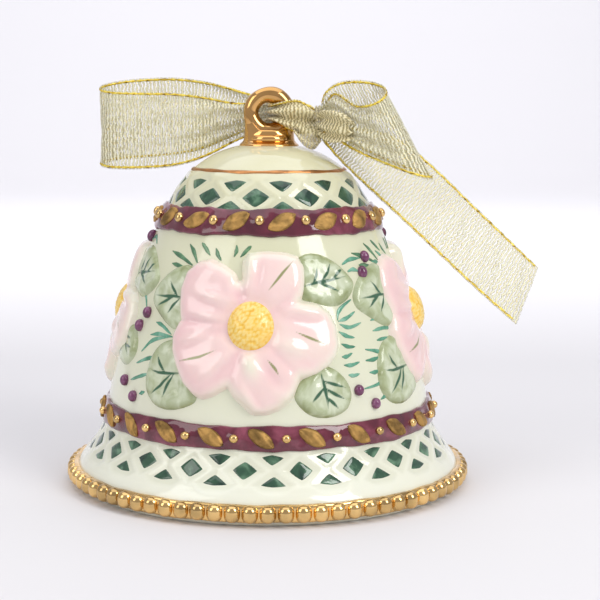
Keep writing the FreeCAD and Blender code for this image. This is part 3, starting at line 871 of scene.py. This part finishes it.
# A patch of relief on the bell: a grid raised by liftOf, cut where it dips under the glaze, and closed.
def reliefPiece(name, low, high, liftOf, attributesOf, smoothing):
    across = int((high[0] - low[0]) / flowerPlan["step"])
    up = int((high[1] - low[1]) / flowerPlan["step"])
    piece = newGrid(across, up)
    places = coordsOf(piece)
    order = np.lexsort((places[:, 0].round(5), places[:, 1].round(5)))
    flat = np.stack([low[0] + (places[:, 0] + 1) / 2 * (high[0] - low[0]),
                     low[1] + (places[:, 1] + 1) / 2 * (high[1] - low[1])], axis=-1)
    lift = np.empty(len(flat))
    lift[order] = softened(liftOf(flat)[order], up + 1, across + 1, smoothing)
    angle = math.radians(flowerPlan["turn"]) + flat[:, 0] / flowerPlan["radius"]
    setCoords(piece, onBell(angle, flowerPlan["height"] + flat[:, 1], lift))
    for key, values in attributesOf(flat).items():
        paint(piece, key, values)
    gone = np.array([lift[list(face.vertices)].max() < -0.12 for face in piece.data.polygons])
    pick(piece)
    bpy.ops.object.mode_set(mode="EDIT")
    bpy.ops.mesh.select_mode(type="FACE")
    bpy.ops.mesh.select_all(action="DESELECT")
    bpy.ops.object.mode_set(mode="OBJECT")
    piece.data.polygons.foreach_set("select", gone)
    bpy.ops.object.mode_set(mode="EDIT")
    bpy.ops.mesh.delete(type="FACE")
    bpy.ops.object.mode_set(mode="OBJECT")
    middle = piece.data.polygons[len(piece.data.polygons) // 2]
    if middle.normal.dot(Vector((middle.center.x, middle.center.y, 0))) < 0:
        pick(piece)
        bpy.ops.object.mode_set(mode="EDIT")
        bpy.ops.mesh.select_all(action="SELECT")
        bpy.ops.mesh.flip_normals()
        bpy.ops.object.mode_set(mode="OBJECT")
    thicken(piece, 0.35)
    piece.name = name
    return piece


def turnedCopy(piece, name, degrees):
    copy = piece.copy()
    copy.data = piece.data.copy()
    bpy.context.scene.collection.objects.link(copy)
    copy.data.transform(Matrix.Rotation(math.radians(degrees), 4, "Z"))
    copy.name = name
    return copy


# The rise of each soft mound or hollow in the petals.
def bulgeMounds(flat):
    for across, up, length, width, direction, rise in petalBulges:
        turn = math.radians(direction)
        x, y = flat[:, 0] - across, flat[:, 1] - up
        along = (x * math.cos(turn) + y * math.sin(turn)) / length
        off = (-x * math.sin(turn) + y * math.cos(turn)) / width
        yield rise * np.exp(-along ** 2 - off ** 2)


def petalLift(flat):
    ring = [point for outline in petalOutlines for point in outline[1:]]
    whole = insideDistance(flat, ring)
    lift = np.zeros(len(flat))
    for number, corners in enumerate(petalOutlines):
        depth = insideDistance(flat, corners)
        lift = np.maximum(lift, rounded(depth, 2.6) * (1 + 0.05 * number))
    lift = flowerPlan["rise"] * (0.70 * rounded(whole, flowerPlan["roundness"]) + 0.32 * lift)
    for mound in bulgeMounds(flat):
        lift += mound * smoothstep(0, 1.5, whole)
    reach = np.hypot(flat[:, 0], flat[:, 1])
    lift -= 0.22 * np.exp(-((reach - 5.3) / 0.8) ** 2)
    lift = lift + (1.05 - lift) * smoothstep(5.4, 4.6, reach)
    return np.where(whole > 0, lift, np.maximum(whole * 1.1, -0.3))


def petalPaint(flat):
    ring = [point for outline in petalOutlines for point in outline[1:]]
    whole = insideDistance(flat, ring)
    inner = np.max([insideDistance(flat, corners) for corners in petalOutlines], axis=0)
    # seams: painted shade, pinker in the creases between the petals
    seams = smoothstep(1.4, 0.0, inner) * smoothstep(1.0, 3.0, whole)
    pinkAndPaintedLight = 0.22 + 0.50 * smoothstep(0.1, 2.2, whole) + 0.16 * seams
    pinkAndPaintedLight += 0.16 * smoothstep(-2, -12, flat[:, 0]) - 0.16 * smoothstep(2, 14, flat[:, 0])
    # painted highlights and shade: paler on the raised mounds, pinker in the sunken ones
    for mound in bulgeMounds(flat):
        pinkAndPaintedLight -= 0.45 * mound
    # two painted highlights: paler spots on the tops of the highest bulges
    pinkAndPaintedLight -= 0.55 * np.exp(-((flat[:, 0] - 0.3) / 1.6) ** 2 - ((flat[:, 1] + 6.8) / 2.2) ** 2)
    pinkAndPaintedLight -= 0.35 * np.exp(-((flat[:, 0] + 0.6) / 1.6) ** 2 - ((flat[:, 1] - 10.6) / 2.4) ** 2)
    return {"pinkAndPaintedLight": pinkAndPaintedLight, "vein": strokeDepth(flat, petalVeins, 0.27)}


def centreLift(flat):
    reach = np.hypot(flat[:, 0] / 4.0, (flat[:, 1] + 0.05) / 4.15)
    return 1.15 + 1.45 * (1 - reach ** 2.6) + grainOf(flat) * smoothstep(1.05, 0.85, reach) * 0.30


grainPlaces = []
for ringNumber in range(7):
    for step in range(max(1, int(6.2 * ringNumber))):
        turn = 2 * math.pi * step / max(1, int(6.2 * ringNumber)) + ringNumber * 0.7
        reach = ringNumber * 0.66
        grainPlaces.append((reach * math.cos(turn) + random.uniform(-0.2, 0.2),
                            reach * math.sin(turn) + random.uniform(-0.2, 0.2)))


def grainOf(flat):
    best = np.full(len(flat), 9.0)
    for across, up in grainPlaces:
        best = np.minimum(best, np.hypot(flat[:, 0] - across, flat[:, 1] - up))
    return np.clip(1 - (best / 0.48) ** 2, 0, 1)


leafOutlines = {
    "upperLeft": {
        "edge": [(-13.0, 9.8), (-15.4, 10.2), (-18.4, 9.4), (-21.2, 7.4), (-23.0, 4.8), (-22.6, 2.8),
                 (-20.4, 1.2), (-17.4, -0.6), (-15.0, -1.4), (-12.5, 0)],
        "veins": [[(-13.6, 4.2), (-16.5, 4.4), (-19, 4.2), (-22.2, 4.2)],
                  [(-16.4, 4.4), (-18.4, 3.4), (-20.4, 2.2)], [(-15.4, 4.2), (-16.9, 5.6), (-18.4, 7.2)],
                  [(-15.0, 4.0), (-16.2, 2.6), (-17.2, 1.2)]]},
    "lowerLeft": {
        "edge": [(-12.2, -3.0), (-15.2, -3.2), (-18, -4.4), (-19.7, -6.8), (-20.3, -9.8), (-19.9, -12.8),
                 (-17.6, -15.2), (-14.2, -15.8), (-10.8, -14.8), (-9.0, -13.0), (-11, -8)],
        "veins": [[(-12.0, -9.0), (-14.8, -9.3), (-17, -9.4), (-19.4, -9.0)],
                  [(-14.2, -9.4), (-16.0, -11.6), (-18.2, -13.6)],
                  [(-13.6, -9.4), (-14.6, -11.6), (-15.4, -13.8)],
                  [(-15.4, -9.3), (-16.8, -7.8), (-17.6, -6.2)]]},
    "upperRight": {
        "edge": [(9.4, 11.9), (11.6, 12.6), (14.5, 12.4), (18, 10.8), (20.8, 8.4), (21.5, 6.7),
                 (19.6, 4.6), (16.2, 3.3), (12, 4.2), (9.4, 5.4)],
        "veins": [[(10.2, 6.9), (13, 7.5), (16, 7.8), (19.6, 8.3)],
                  [(13.8, 7.6), (15.2, 9.0), (16.3, 10.8)], [(13.0, 7.4), (15.4, 6.6), (17.8, 5.4)],
                  [(12.0, 7.2), (12.9, 8.8), (13.2, 10.2)], [(16.2, 7.8), (18.0, 9.2), (18.9, 9.6)]]},
    "lowerRight": {
        "edge": [(12.8, -6.9), (15.4, -8.4), (17.2, -10.8), (17.5, -13.2), (16.2, -15.4), (13, -16.4),
                 (9.8, -15.6), (7.6, -12.9), (8.0, -10.4), (10.5, -8.4)],
        "veins": [[(12.0, -8.4), (12.5, -10.8), (12.8, -12.8), (12.9, -14.8)],
                  [(12.3, -9.8), (14.4, -10.6), (16.4, -11.3)],
                  [(12.5, -11.0), (14.4, -12.4), (16.2, -13.4)],
                  [(12.4, -11.0), (11.2, -12.4), (10.2, -13.6)],
                  [(12.7, -12.6), (13.8, -13.8), (14.8, -15.0)]]},
    "highRight": {
        "edge": [(10.8, -1.2), (13.5, -1.2), (16.6, -2.2), (18.8, -4.6), (18.9, -7.2), (16.6, -9.4),
                 (13.4, -9.2), (11.0, -6.5)],
        "veins": [[(11.8, -3.0), (13.8, -4.6), (15.6, -6.2), (17.2, -8.0)],
                  [(13.6, -4.4), (15.6, -4.4), (17.6, -4.6)], [(13.8, -4.8), (13.6, -6.6), (13.4, -8.2)],
                  [(15.2, -5.8), (16.8, -6.0), (18.2, -6.2)]]},
}
leafPlan = {"rise": 0.78, "roundness": 1.5, "vein": 0.30}


def makeLeaf(key):
    edge, veins = leafOutlines[key]["edge"], leafOutlines[key]["veins"]
    corners = [tuple(point) for point in smoothLine(edge + [edge[0]], 4)[:-1]]
    spread = np.array(corners)

    def lift(flat):
        depth = insideDistance(flat, corners)
        spine = strokeDepth(flat, veins[:1], 0.5)
        rise = leafPlan["rise"] * rounded(depth, leafPlan["roundness"])
        rise += 0.10 * np.sin(flat[:, 0] * 1.7 + 1) * np.sin(flat[:, 1] * 1.5) * smoothstep(0, 2, depth)
        rise -= 0.16 * smoothstep(-1.4, 0.3, spine)
        return np.where(depth > 0, rise, np.maximum(depth * 1.1, -0.3))

    def attributes(flat):
        depth = insideDistance(flat, corners)
        return {"rim": smoothstep(0.2, 1.9, depth), "vein": strokeDepth(flat, veins, leafPlan["vein"])}

    return reliefPiece(key, spread.min(0) - 0.8, spread.max(0) + 0.8, lift, attributes, 2)


sides = ["front", "right", "back", "left"]


def makeFlowers():
    petals = reliefPiece("petals", (-17.2, -17.2), (17.4, 14.8), petalLift, petalPaint, 3)
    # the centre's colour follows its granules as painted highlights and shade
    centre = reliefPiece("centre", (-5.4, -5.6), (5.4, 5.6), centreLift,
                         lambda flat: {"granuleLight": grainOf(flat)}, 0)
    leaves = {key: makeLeaf(key) for key in leafOutlines}
    for number, side in enumerate(sides):
        turn = 90 * number
        copy = turnedCopy(petals, side + "Petals", turn)
        finishPiece(copy, side + "Petals", "petal", "bell", [side + "_petals"])
        copy = turnedCopy(centre, side + "FlowerCentre", turn)
        finishPiece(copy, side + "FlowerCentre", "centre", "bell", [side + "_flower_centre"])
        last = "lowerRight" if number % 2 == 0 else "highRight"
        for key in ("upperLeft", "lowerLeft", "upperRight", last):
            name = side + key[0].upper() + key[1:] + "Leaf"
            copy = turnedCopy(leaves[key], name, turn)
            finishPiece(copy, name, "leaf", "bell", [side + "_leaves"])
    for piece in [petals, centre] + list(leaves.values()):
        bpy.data.objects.remove(piece)


makeFlowers()
print("flowers ready")


strokesAbove = [
    [(-21.0, 12.4), (-17.6, 11.6), (-13.8, 10.2)], [(-16.1, 13.9), (-14.4, 12.6), (-12.7, 10.6)],
    [(-12.8, 14.3), (-11.6, 13.5), (-10.0, 12.2)], [(-8.9, 13.5), (-8.2, 12.4), (-7.2, 11.4)],
    [(-4.1, 14.2), (-4.0, 13.2), (-4.4, 12.1)], [(-0.7, 14.1), (-1.6, 13.4), (-3.0, 12.1)],
    [(-19.7, 10.2), (-17.4, 9.9), (-14.9, 9.1)]]
strokesWide = [
    [(20.3, 4.2), (18.2, 3.2), (16.9, 2.1), (16.5, 0.7)], [(16.6, 0.5), (18.6, 1.0), (20.7, 2.0)],
    [(16.8, 0.0), (18.8, -0.7), (21.7, -0.1)], [(16.4, -1.3), (18.0, -2.2), (19.6, -2.6)],
    [(16.6, -3.5), (18.0, -4.1), (19.4, -4.2)], [(16.4, -5.8), (17.4, -5.8), (18.6, -5.3)],
    [(16.6, -7.3), (18.2, -7.4), (19.9, -7.0)], [(17.3, -9.1), (18.4, -9.3), (19.6, -9.1)],
    [(24.2, 0.1), (27, 0.5), (30.1, 0.2)], [(24.3, -1.8), (27.4, -1.6), (31.0, -2.0)],
    [(24.9, -3.6), (27.2, -3.5), (29.9, -3.9)], [(21.6, -4.9), (24.9, -5.7), (28.0, -7.5)],
    [(21.3, -6.9), (23.2, -6.9), (25.2, -6.5)], [(21.8, -9.1), (23.2, -9.2), (24.7, -8.8)],
    [(20.3, -11.9), (23.2, -11.5), (26.0, -10.6), (28.1, -9.4)],
    [(23.7, -14.3), (25.2, -13.6), (26.3, -12.3)], [(19.7, 10.5), (22.0, 11.3), (25.4, 11.4)],
    [(20.8, 9.2), (22.4, 9.5), (24.0, 9.0)], [(34.4, 10.6), (32.9, 11.6), (31.6, 12.3)],
    [(28.6, 10.5), (30.6, 10.3), (32.4, 9.5)]]
strokesLow = [
    [(15.2, 4.6), (17.6, 3.6), (19.4, 1.4)], [(23.6, -0.6), (25.4, -1.0), (28.2, -2.4)],
    [(22.6, -3.0), (25.2, -2.6), (28.6, -2.8)], [(20.8, -6.3), (23.6, -3.9), (28.4, -2.7)],
    [(19.9, -8.6), (22.8, -7.4), (25.8, -6.6)], [(18.9, -11.9), (21.4, -10.9), (24.2, -9.9)],
    [(22.2, -14.0), (23.6, -13.4)], [(9.6, 13.6), (12.0, 14.4), (14.6, 13.2)]]
berriesWide = [(26.4, 11.5), (24.5, 8.8), (19.0, -12.0), (22.3, -14.8)]
berriesLow = [(20.4, 0.8), (18.6, -1.8), (17.2, -12.3), (20.8, -14.7), (8.8, 14.2)]
strokePlan = {"darkHalf": 0.418, "paleHalf": 0.374, "height": 0.10}


# A tapered, slightly domed brush mark that follows a smooth line on the bell.
def strokeShape(line, width, turnDegrees, points, faces):
    track = smoothLine(line, 8)
    share = (points[:, 0] + 1) / 2
    at = share * (len(track) - 1)
    x = np.interp(at, np.arange(len(track)), track[:, 0])
    y = np.interp(at, np.arange(len(track)), track[:, 1])
    run = np.gradient(track, axis=0)
    run = run / np.linalg.norm(run, axis=1)[:, None]
    acrossX = -np.interp(at, np.arange(len(track)), run[:, 1])
    acrossY = np.interp(at, np.arange(len(track)), run[:, 0])
    half = width * np.sin(math.pi * (0.06 + 0.9 * share)) ** 0.8
    half *= 1 + 0.12 * np.sin(share * 11 + line[0][0])
    x = x + acrossX * points[:, 1] * half
    y = y + acrossY * points[:, 1] * half
    lift = strokePlan["height"] * np.sqrt(np.clip(1 - points[:, 1] ** 2, 0, 1)) + 0.01
    height = flowerPlan["height"] + y
    angle = math.radians(flowerPlan["turn"]) + x / flowerPlan["radius"] + math.radians(turnDegrees)
    return onBell(angle, height, lift + plainWaves(angle, height)), faces


def makeStrokes():
    points, faces = template(newGrid(16, 6))
    dark, pale = [], []
    for number in range(4):
        for line in strokesAbove:
            dark.append(strokeShape(line, strokePlan["darkHalf"], 90 * number, points, faces))
        for line in strokesWide if number % 2 == 0 else strokesLow:
            pale.append(strokeShape(line, strokePlan["paleHalf"], 90 * number, points, faces))
    for name, shapes, material in (("darkBrushMarks", dark, "darkStroke"),
                                   ("paleBrushMarks", pale, "stroke")):
        marks = copyAll(name, shapes)
        thicken(marks, 0.12)
        finishPiece(marks, name, material, "bell")


def makeBerries():
    deselect()
    bpy.ops.mesh.primitive_uv_sphere_add(segments=28, ring_count=18, radius=1.0)
    points, faces = template(bpy.context.object)
    for number, side in enumerate(sides):
        shapes = []
        for across, up in berriesWide if number % 2 == 0 else berriesLow:
            angle = math.radians(flowerPlan["turn"] + 90 * number) + across / flowerPlan["radius"]
            height = flowerPlan["height"] + up
            tall = random.uniform(1.02, 1.16)
            wide = random.uniform(0.86, 0.96)
            lift = 0.30 - points[:, 1] * 0.95
            shapes.append((onBell(angle + points[:, 0] * wide / bellRadius(height),
                                  height + points[:, 2] * tall, lift), faces))
        berries = copyAll(side + "Berries", shapes)
        rightWayOut(berries)
        finishPiece(berries, side + "Berries", "berry", "bell", ["berries_beside_" + side])


makeStrokes()
makeBerries()
print("brush marks ready")


collarOutline = [
    (5.85, 66.12), (5.7, 66.4), (5.3, 66.75), (5.0, 67.2), (4.9, 67.8), (4.85, 68.4), (4.7, 68.9),
    (4.3, 69.2), (3.4, 69.28), (2.2, 69.3)]
collarPlan = {"steps": 128, "squash": 0.86, "nubLength": 3.5, "nubHeight": 0.78, "nubDepth": 0.85,
              "nubPlace": 67.45, "nubReach": 4.95}


# Gilt collar whose bead is widest in front and behind, under the ring.
def makeCollar():
    line = smoothLine(collarOutline, 5)
    ring = [(r, z) for r, z in line] + [(0.9, 69.3), (0.9, 66.0), (5.4, 66.0)]
    collar = spunRing(ring, collarPlan["steps"])
    places = coordsOf(collar) / mm
    upper = smoothstep(66.3, 67.2, places[:, 2])
    places[:, 1] *= 1 - (1 - collarPlan["squash"]) * upper
    arm = smoothstep(68.2, 69.2, places[:, 2]) * smoothstep(1.6, 4.0, np.abs(places[:, 0]))
    places[:, 2] += 2.0 * arm
    places[:, 1] *= 1 - 0.55 * arm
    setCoords(collar, places * mm)
    finishPiece(collar, "giltCollar", "ringGold", "bell", ["crown_collar"])
    deselect()
    bpy.ops.mesh.primitive_uv_sphere_add(segments=40, ring_count=20, radius=1.0)
    points, faces = template(bpy.context.object)
    shapes = []
    for front in (-1, 1):
        x = squared(points[:, 0], 0.8) * collarPlan["nubLength"]
        bend = np.sqrt(collarPlan["nubReach"] ** 2 - x ** 2) * collarPlan["squash"]
        y = front * (bend + points[:, 1] * front * collarPlan["nubDepth"])
        z = collarPlan["nubPlace"] + points[:, 2] * collarPlan["nubHeight"]
        shapes.append((np.stack([x, y, z], axis=-1) * mm, faces))
    nubs = copyAll("collarNubs", shapes)
    rightWayOut(nubs)
    finishPiece(nubs, "giltCollarNubs", "ringGold", "bell")


ringPlan = {"height": 72.4, "major": 3.55, "minor": 1.55}


def makeRing():
    deselect()
    bpy.ops.mesh.primitive_torus_add(major_segments=120, minor_segments=40,
                                     major_radius=ringPlan["major"] * mm,
                                     minor_radius=ringPlan["minor"] * mm)
    ring = bpy.context.object
    places = coordsOf(ring) / mm
    turned = np.stack([places[:, 0], places[:, 2], places[:, 1]], axis=-1)
    angle = np.arctan2(turned[:, 0], turned[:, 2])
    fat = 1 + 0.05 * np.sin(angle * 2 + 0.6) + 0.03 * np.sin(angle * 5)
    middle = np.stack([np.sin(angle), np.zeros(len(angle)), np.cos(angle)], axis=-1) * ringPlan["major"]
    turned = middle + (turned - middle) * fat[:, None]
    turned[:, 2] += ringPlan["height"]
    setCoords(ring, turned * mm)
    rightWayOut(ring)
    finishPiece(ring, "giltHangingRing", "ringGold", "bell", ["hanging_ring"])


makeCollar()
makeRing()

plainNodes = {"crown_plug": "cement", "clapper_eye": "wire", "clapper_link": "wire",
              "clapper_hanger": "wire", "clapper_ball": "clapper", "clapper_end": "wire"}
for nodeName, finishName in plainNodes.items():
    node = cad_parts[nodeName]
    node.data.materials.clear()
    node.data.materials.append(finish[finishName])
    pick(node)
    bpy.ops.object.shade_smooth_by_angle(angle=math.radians(40))
print("crown ready")


ribbonPlan = {"width": 16.0, "thickness": 0.16, "selvedge": 0.45, "wire": 0.23, "waver": 0.12,
              "leastSide": 10.0}


# Cloth between a low and a high edge. Each station is (low point, high point); cloth that is narrower than
# the ribbon is pleated. Returns the cloth and its edge wires, which share the same folds.
def ribbonPiece(name, plan):
    waver = ribbonPlan["waver"]
    lows = smoothLine([low for low, high in plan["stations"]], 14)
    highs = smoothLine([high for low, high in plan["stations"]], 14)
    middles = (lows + highs) / 2
    runs = np.linalg.norm(np.diff(middles, axis=0), axis=1)
    length = np.concatenate([[0], np.cumsum(runs)])
    forward = np.gradient(middles, axis=0)
    forward /= np.linalg.norm(forward, axis=1)[:, None]
    across = highs - lows
    width = np.linalg.norm(across, axis=1)
    side = across / width[:, None]
    face = np.cross(forward, side)
    face /= np.linalg.norm(face, axis=1)[:, None]
    steps = max(40, int(length[-1] / 0.32))

    # A place on the cloth: share along it and v from 0 at the low edge to 1 at the high edge.
    def at(share, v):
        index = share * (len(lows) - 1)
        many = np.arange(len(lows))
        low = np.stack([np.interp(index, many, lows[:, i]) for i in range(3)], axis=-1)
        high = np.stack([np.interp(index, many, highs[:, i]) for i in range(3)], axis=-1)
        out = np.stack([np.interp(index, many, face[:, i]) for i in range(3)], axis=-1)
        wide = np.interp(index, many, width)
        tight = np.clip(1 - wide / ribbonPlan["width"], 0, 1)
        run = np.interp(index, many, length)
        fold = np.sin(2 * math.pi * plan["pleats"] * v + 0.22 * run + 0.9 * np.sin(5 * v))
        fold *= plan["pleatDepth"] * tight ** 0.8
        fold += waver * np.sin(run * 0.75 + 3 * v) * np.sin(math.pi * v)
        fold += waver * 0.5 * np.sin(run * 1.9 + 9 * v)
        return low + (high - low) * v[:, None] + out * fold[:, None]

    cloth = newGrid(steps, 44)
    places = coordsOf(cloth)
    share, v = (places[:, 0] + 1) / 2, (places[:, 1] + 1) / 2
    setCoords(cloth, at(share, v) * mm)
    layer = cloth.data.uv_layers.active or cloth.data.uv_layers.new(name="UVMap")
    run = np.interp(share * (len(lows) - 1), np.arange(len(lows)), length)
    for loop in cloth.data.loops:
        index = loop.vertex_index
        layer.data[loop.index].uv = (run[index] / 10, v[index] * ribbonPlan["width"] / 10)
    thicken(cloth, ribbonPlan["thickness"], 0.0)
    finishPiece(cloth, name, plan["finish"], None)
    edges = []
    inset = ribbonPlan["selvedge"] / ribbonPlan["width"]
    for edgeName, v in (("Low", inset), ("High", 1 - inset)) if plan["wires"] else ():
        shares = np.linspace(0.01, 0.99, steps)
        line = at(shares, np.full(steps, v))
        wire = newGrid(steps - 1, 8)
        points = coordsOf(wire)
        number = np.rint((points[:, 0] + 1) / 2 * (steps - 1)).astype(int)
        turn = (points[:, 1] + 1) * math.pi
        ahead = np.gradient(line, axis=0)
        ahead /= np.linalg.norm(ahead, axis=1)[:, None]
        upward = np.cross(ahead, np.cross([0.0, 0.3, 1.0], ahead))
        upward /= np.linalg.norm(upward, axis=1)[:, None]
        outward = np.cross(ahead, upward)
        thick = ribbonPlan["wire"] * (1 + 0.25 * np.sin(number * 1.7 + noiseSource.uniform(0, 6)))
        thick = np.where((number == 0) | (number == steps - 1), 0.02, thick)
        setCoords(wire, (line[number] + (upward[number] * np.sin(turn)[:, None]
                                         + outward[number] * np.cos(turn)[:, None]) * thick[:, None]) * mm)
        layer = wire.data.uv_layers.active or wire.data.uv_layers.new(name="UVMap")
        for loop in wire.data.loops:
            index = loop.vertex_index
            layer.data[loop.index].uv = (number[index] * length[-1] / steps / 10, turn[index] / 20)
        rightWayOut(wire)
        pick(wire)
        bpy.ops.object.mode_set(mode="EDIT")
        bpy.ops.mesh.select_all(action="SELECT")
        bpy.ops.mesh.fill_holes(sides=0)
        bpy.ops.mesh.normals_make_consistent(inside=False)
        bpy.ops.object.mode_set(mode="OBJECT")
        finishPiece(wire, name + edgeName + "Wire", "thread", None)
        edges.append(wire)
    return cloth, edges, length[-1]


# low point and high point of each station, in millimetres
hangingLoopStations = [
    ((6.0, 3.0, 70.4), (6.0, 3.0, 74.4)), ((3.0, 3.1, 69.9), (3.0, 3.1, 74.8)),
    ((0.0, 3.6, 69.2), (0.0, 3.6, 74.6)), ((-3.0, 5.0, 68.2), (-3.0, 5.0, 74.4)),
    ((-7.0, 6.0, 66.5), (-7.0, 5.9, 74.4)), ((-13.0, 6.2, 63.4), (-13.0, 6.0, 75.6)),
    ((-19.0, 6.3, 61.6), (-19.0, 6.0, 76.3)), ((-26.0, 6.5, 61.0), (-26.0, 6.3, 76.4)),
    ((-31.6, 7.2, 61.0), (-31.6, 7.0, 76.6)), ((-33.9, 9.6, 61.6), (-34.0, 9.6, 77.4)),
    ((-31.4, 12.2, 62.4), (-31.4, 12.2, 78.4)), ((-26.0, 13.0, 62.9), (-26.0, 13.2, 79.1)),
    ((-19.0, 12.6, 63.6), (-19.0, 12.8, 79.3)), ((-13.0, 11.4, 65.0), (-13.0, 11.6, 78.6)),
    ((-8.0, 9.6, 67.2), (-8.0, 9.8, 77.4)), ((-4.0, 7.8, 69.0), (-4.0, 7.8, 76.2)),
    ((0.0, 5.2, 70.0), (0.0, 5.2, 75.2)), ((4.0, 4.2, 70.4), (4.0, 4.2, 74.8))]
strandStations = [
    ((9.5, -2.5, 69.0), (9.4, -2.4, 72.8)), ((7.6, -3.3, 68.6), (7.4, -3.2, 74.2)),
    ((5.6, -3.6, 68.6), (5.4, -3.4, 75.0)), ((3.4, -3.2, 69.4), (3.4, -3.1, 74.8)),
    ((1.4, -2.2, 70.6), (1.4, -2.1, 74.2)), ((0.5, -0.3, 71.0), (0.5, -0.3, 73.9)),
    ((1.1, 1.9, 70.7), (1.1, 1.9, 74.2)), ((3.4, 3.0, 69.8), (3.4, 3.0, 74.9)),
    ((6.4, 2.0, 69.4), (6.4, 2.0, 74.4)), ((9.0, 0.2, 69.6), (9.0, 0.2, 73.2))]
lowerWrapStations = [
    ((10.2, -3.1, 67.2), (9.9, -3.1, 70.4)), ((8.9, -3.9, 65.6), (9.1, -3.9, 70.0)),
    ((7.3, -4.4, 65.9), (7.8, -4.4, 70.0)), ((6.0, -4.4, 67.0), (6.5, -4.3, 70.4)),
    ((4.8, -4.0, 68.6), (5.1, -3.9, 71.4))]
knotStations = [
    ((9.0, 0.6, 68.6), (10.6, 0.6, 68.8)), ((9.0, -1.6, 67.8), (10.4, -1.6, 67.8)),
    ((9.0, -3.4, 68.4), (10.2, -3.5, 68.4)), ((9.2, -4.2, 70.4), (10.1, -4.3, 70.4)),
    ((9.1, -3.6, 72.6), (10.3, -3.6, 72.6)), ((9.0, -1.6, 73.6), (10.4, -1.6, 73.7)),
    ((9.0, 0.6, 73.0), (10.6, 0.6, 73.0))]
puffStations = [
    ((9.8, -4.0, 68.8), (9.6, -4.0, 71.8)), ((10.8, -6.0, 67.4), (10.4, -6.2, 73.0)),
    ((12.6, -8.2, 67.0), (12.4, -8.4, 73.0)), ((14.4, -9.2, 67.2), (14.6, -9.4, 72.2)),
    ((15.6, -8.8, 67.9), (15.8, -8.8, 71.0)), ((15.9, -7.6, 68.4), (15.9, -7.6, 70.2))]
bowStations = [
    ((10.6, -3.9, 69.0), (10.2, -3.9, 74.2)), ((13.0, -6.6, 67.6), (12.4, -6.8, 76.4)),
    ((17.2, -9.4, 65.0), (16.2, -9.4, 74.3)), ((22.8, -12.0, 62.6), (18.9, -11.6, 74.4)),
    ((28.0, -13.2, 60.8), (21.0, -11.8, 75.6)), ((31.0, -11.4, 60.2), (21.9, -9.2, 77.2)),
    ((29.6, -8.4, 60.9), (20.4, -6.4, 78.4)), ((25.0, -6.4, 62.4), (16.8, -5.2, 78.9)),
    ((19.0, -5.0, 65.0), (13.2, -4.6, 78.4)), ((14.0, -4.0, 67.8), (10.8, -4.1, 76.6)),
    ((11.2, -3.4, 69.4), (9.9, -3.4, 74.2))]
tailStations = [
    ((9.9, -2.2, 68.6), (11.4, -1.2, 70.6)), ((10.6, -2.4, 66.6), (13.4, 0.2, 69.8)),
    ((12.4, -2.4, 64.4), (17.2, 3.2, 69.6)), ((15.4, -2.2, 61.6), (22.4, 6.2, 68.6)),
    ((20.0, -2.1, 57.4), (28.2, 8.0, 65.9)), ((26.0, -2.0, 51.9), (34.6, 8.4, 60.6)),
    ((33.0, -2.2, 45.4), (41.4, 8.0, 54.1)), ((41.0, -1.9, 38.1), (48.8, 8.5, 47.2)),
    ((49.2, -2.1, 31.0), (55.2, 8.6, 41.2))]


clothPieces = {
    "hangingLoop": {"stations": hangingLoopStations, "finish": "organza", "pleats": 4.0, "pleatDepth": 0.95,
                    "wires": True, "held": "hung", "rests": ["giltHangingRing"],
                    "replaced": ["ribbon_hanging_loop"]},
    "bowLoop": {"stations": bowStations, "finish": "organza", "pleats": 4.0, "pleatDepth": 0.95,
                "wires": True, "held": "folded", "rests": ["knotWrap"], "replaced": ["ribbon_bow_loop"]},
    "ribbonTail": {"stations": tailStations, "finish": "organza", "pleats": 4.0, "pleatDepth": 0.95,
                   "wires": True, "held": "hung", "rests": ["knotWrap"], "replaced": ["ribbon_tail"]},
    "strandWrap": {"stations": strandStations, "finish": "gathered", "pleats": 2.4, "pleatDepth": 1.15,
                   "wires": True, "held": "gathered", "rests": ["giltHangingRing"],
                   "replaced": ["ribbon_strands"]},
    "lowerWrap": {"stations": lowerWrapStations, "finish": "gathered", "pleats": 2.4, "pleatDepth": 0.6,
                  "wires": False, "held": "gathered", "rests": ["giltHangingRing"], "replaced": []},
    "knotPuff": {"stations": puffStations, "finish": "gathered", "pleats": 2.4, "pleatDepth": 0.8,
                 "wires": False, "held": "gathered", "rests": ["knotWrap"], "replaced": []},
    "knotWrap": {"stations": knotStations, "finish": "gathered", "pleats": 2.4, "pleatDepth": 0.25,
                 "wires": False, "held": "gathered", "rests": ["strandWrap"], "replaced": ["ribbon_knot"]},
}
# where the cloth passes from the bell to the body that moves it, in millimetres
crossings = {
    "hangingLoop": ("hanging_loop", (1.0, 4.0, 72.4), (-4.0, 6.0, 72.4)),
    "bowLoop": ("bow_loop", (10.6, -3.6, 71.2), (14.0, -7.0, 71.2)),
    "ribbonTail": ("tail", (10.2, -2.0, 69.6), (13.0, -2.0, 66.5)),
}


def makeRibbon():
    made = {name: ribbonPiece(name, plan) for name, plan in clothPieces.items()}
    for name, (cloth, wires, length) in made.items():
        plan = clothPieces[name]
        for piece in [cloth] + wires:
            if name in crossings:
                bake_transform(piece)
            else:
                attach(piece, "bell")
        if plan["replaced"]:
            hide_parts(*plan["replaced"])


makeRibbon()
print("ribbon ready")
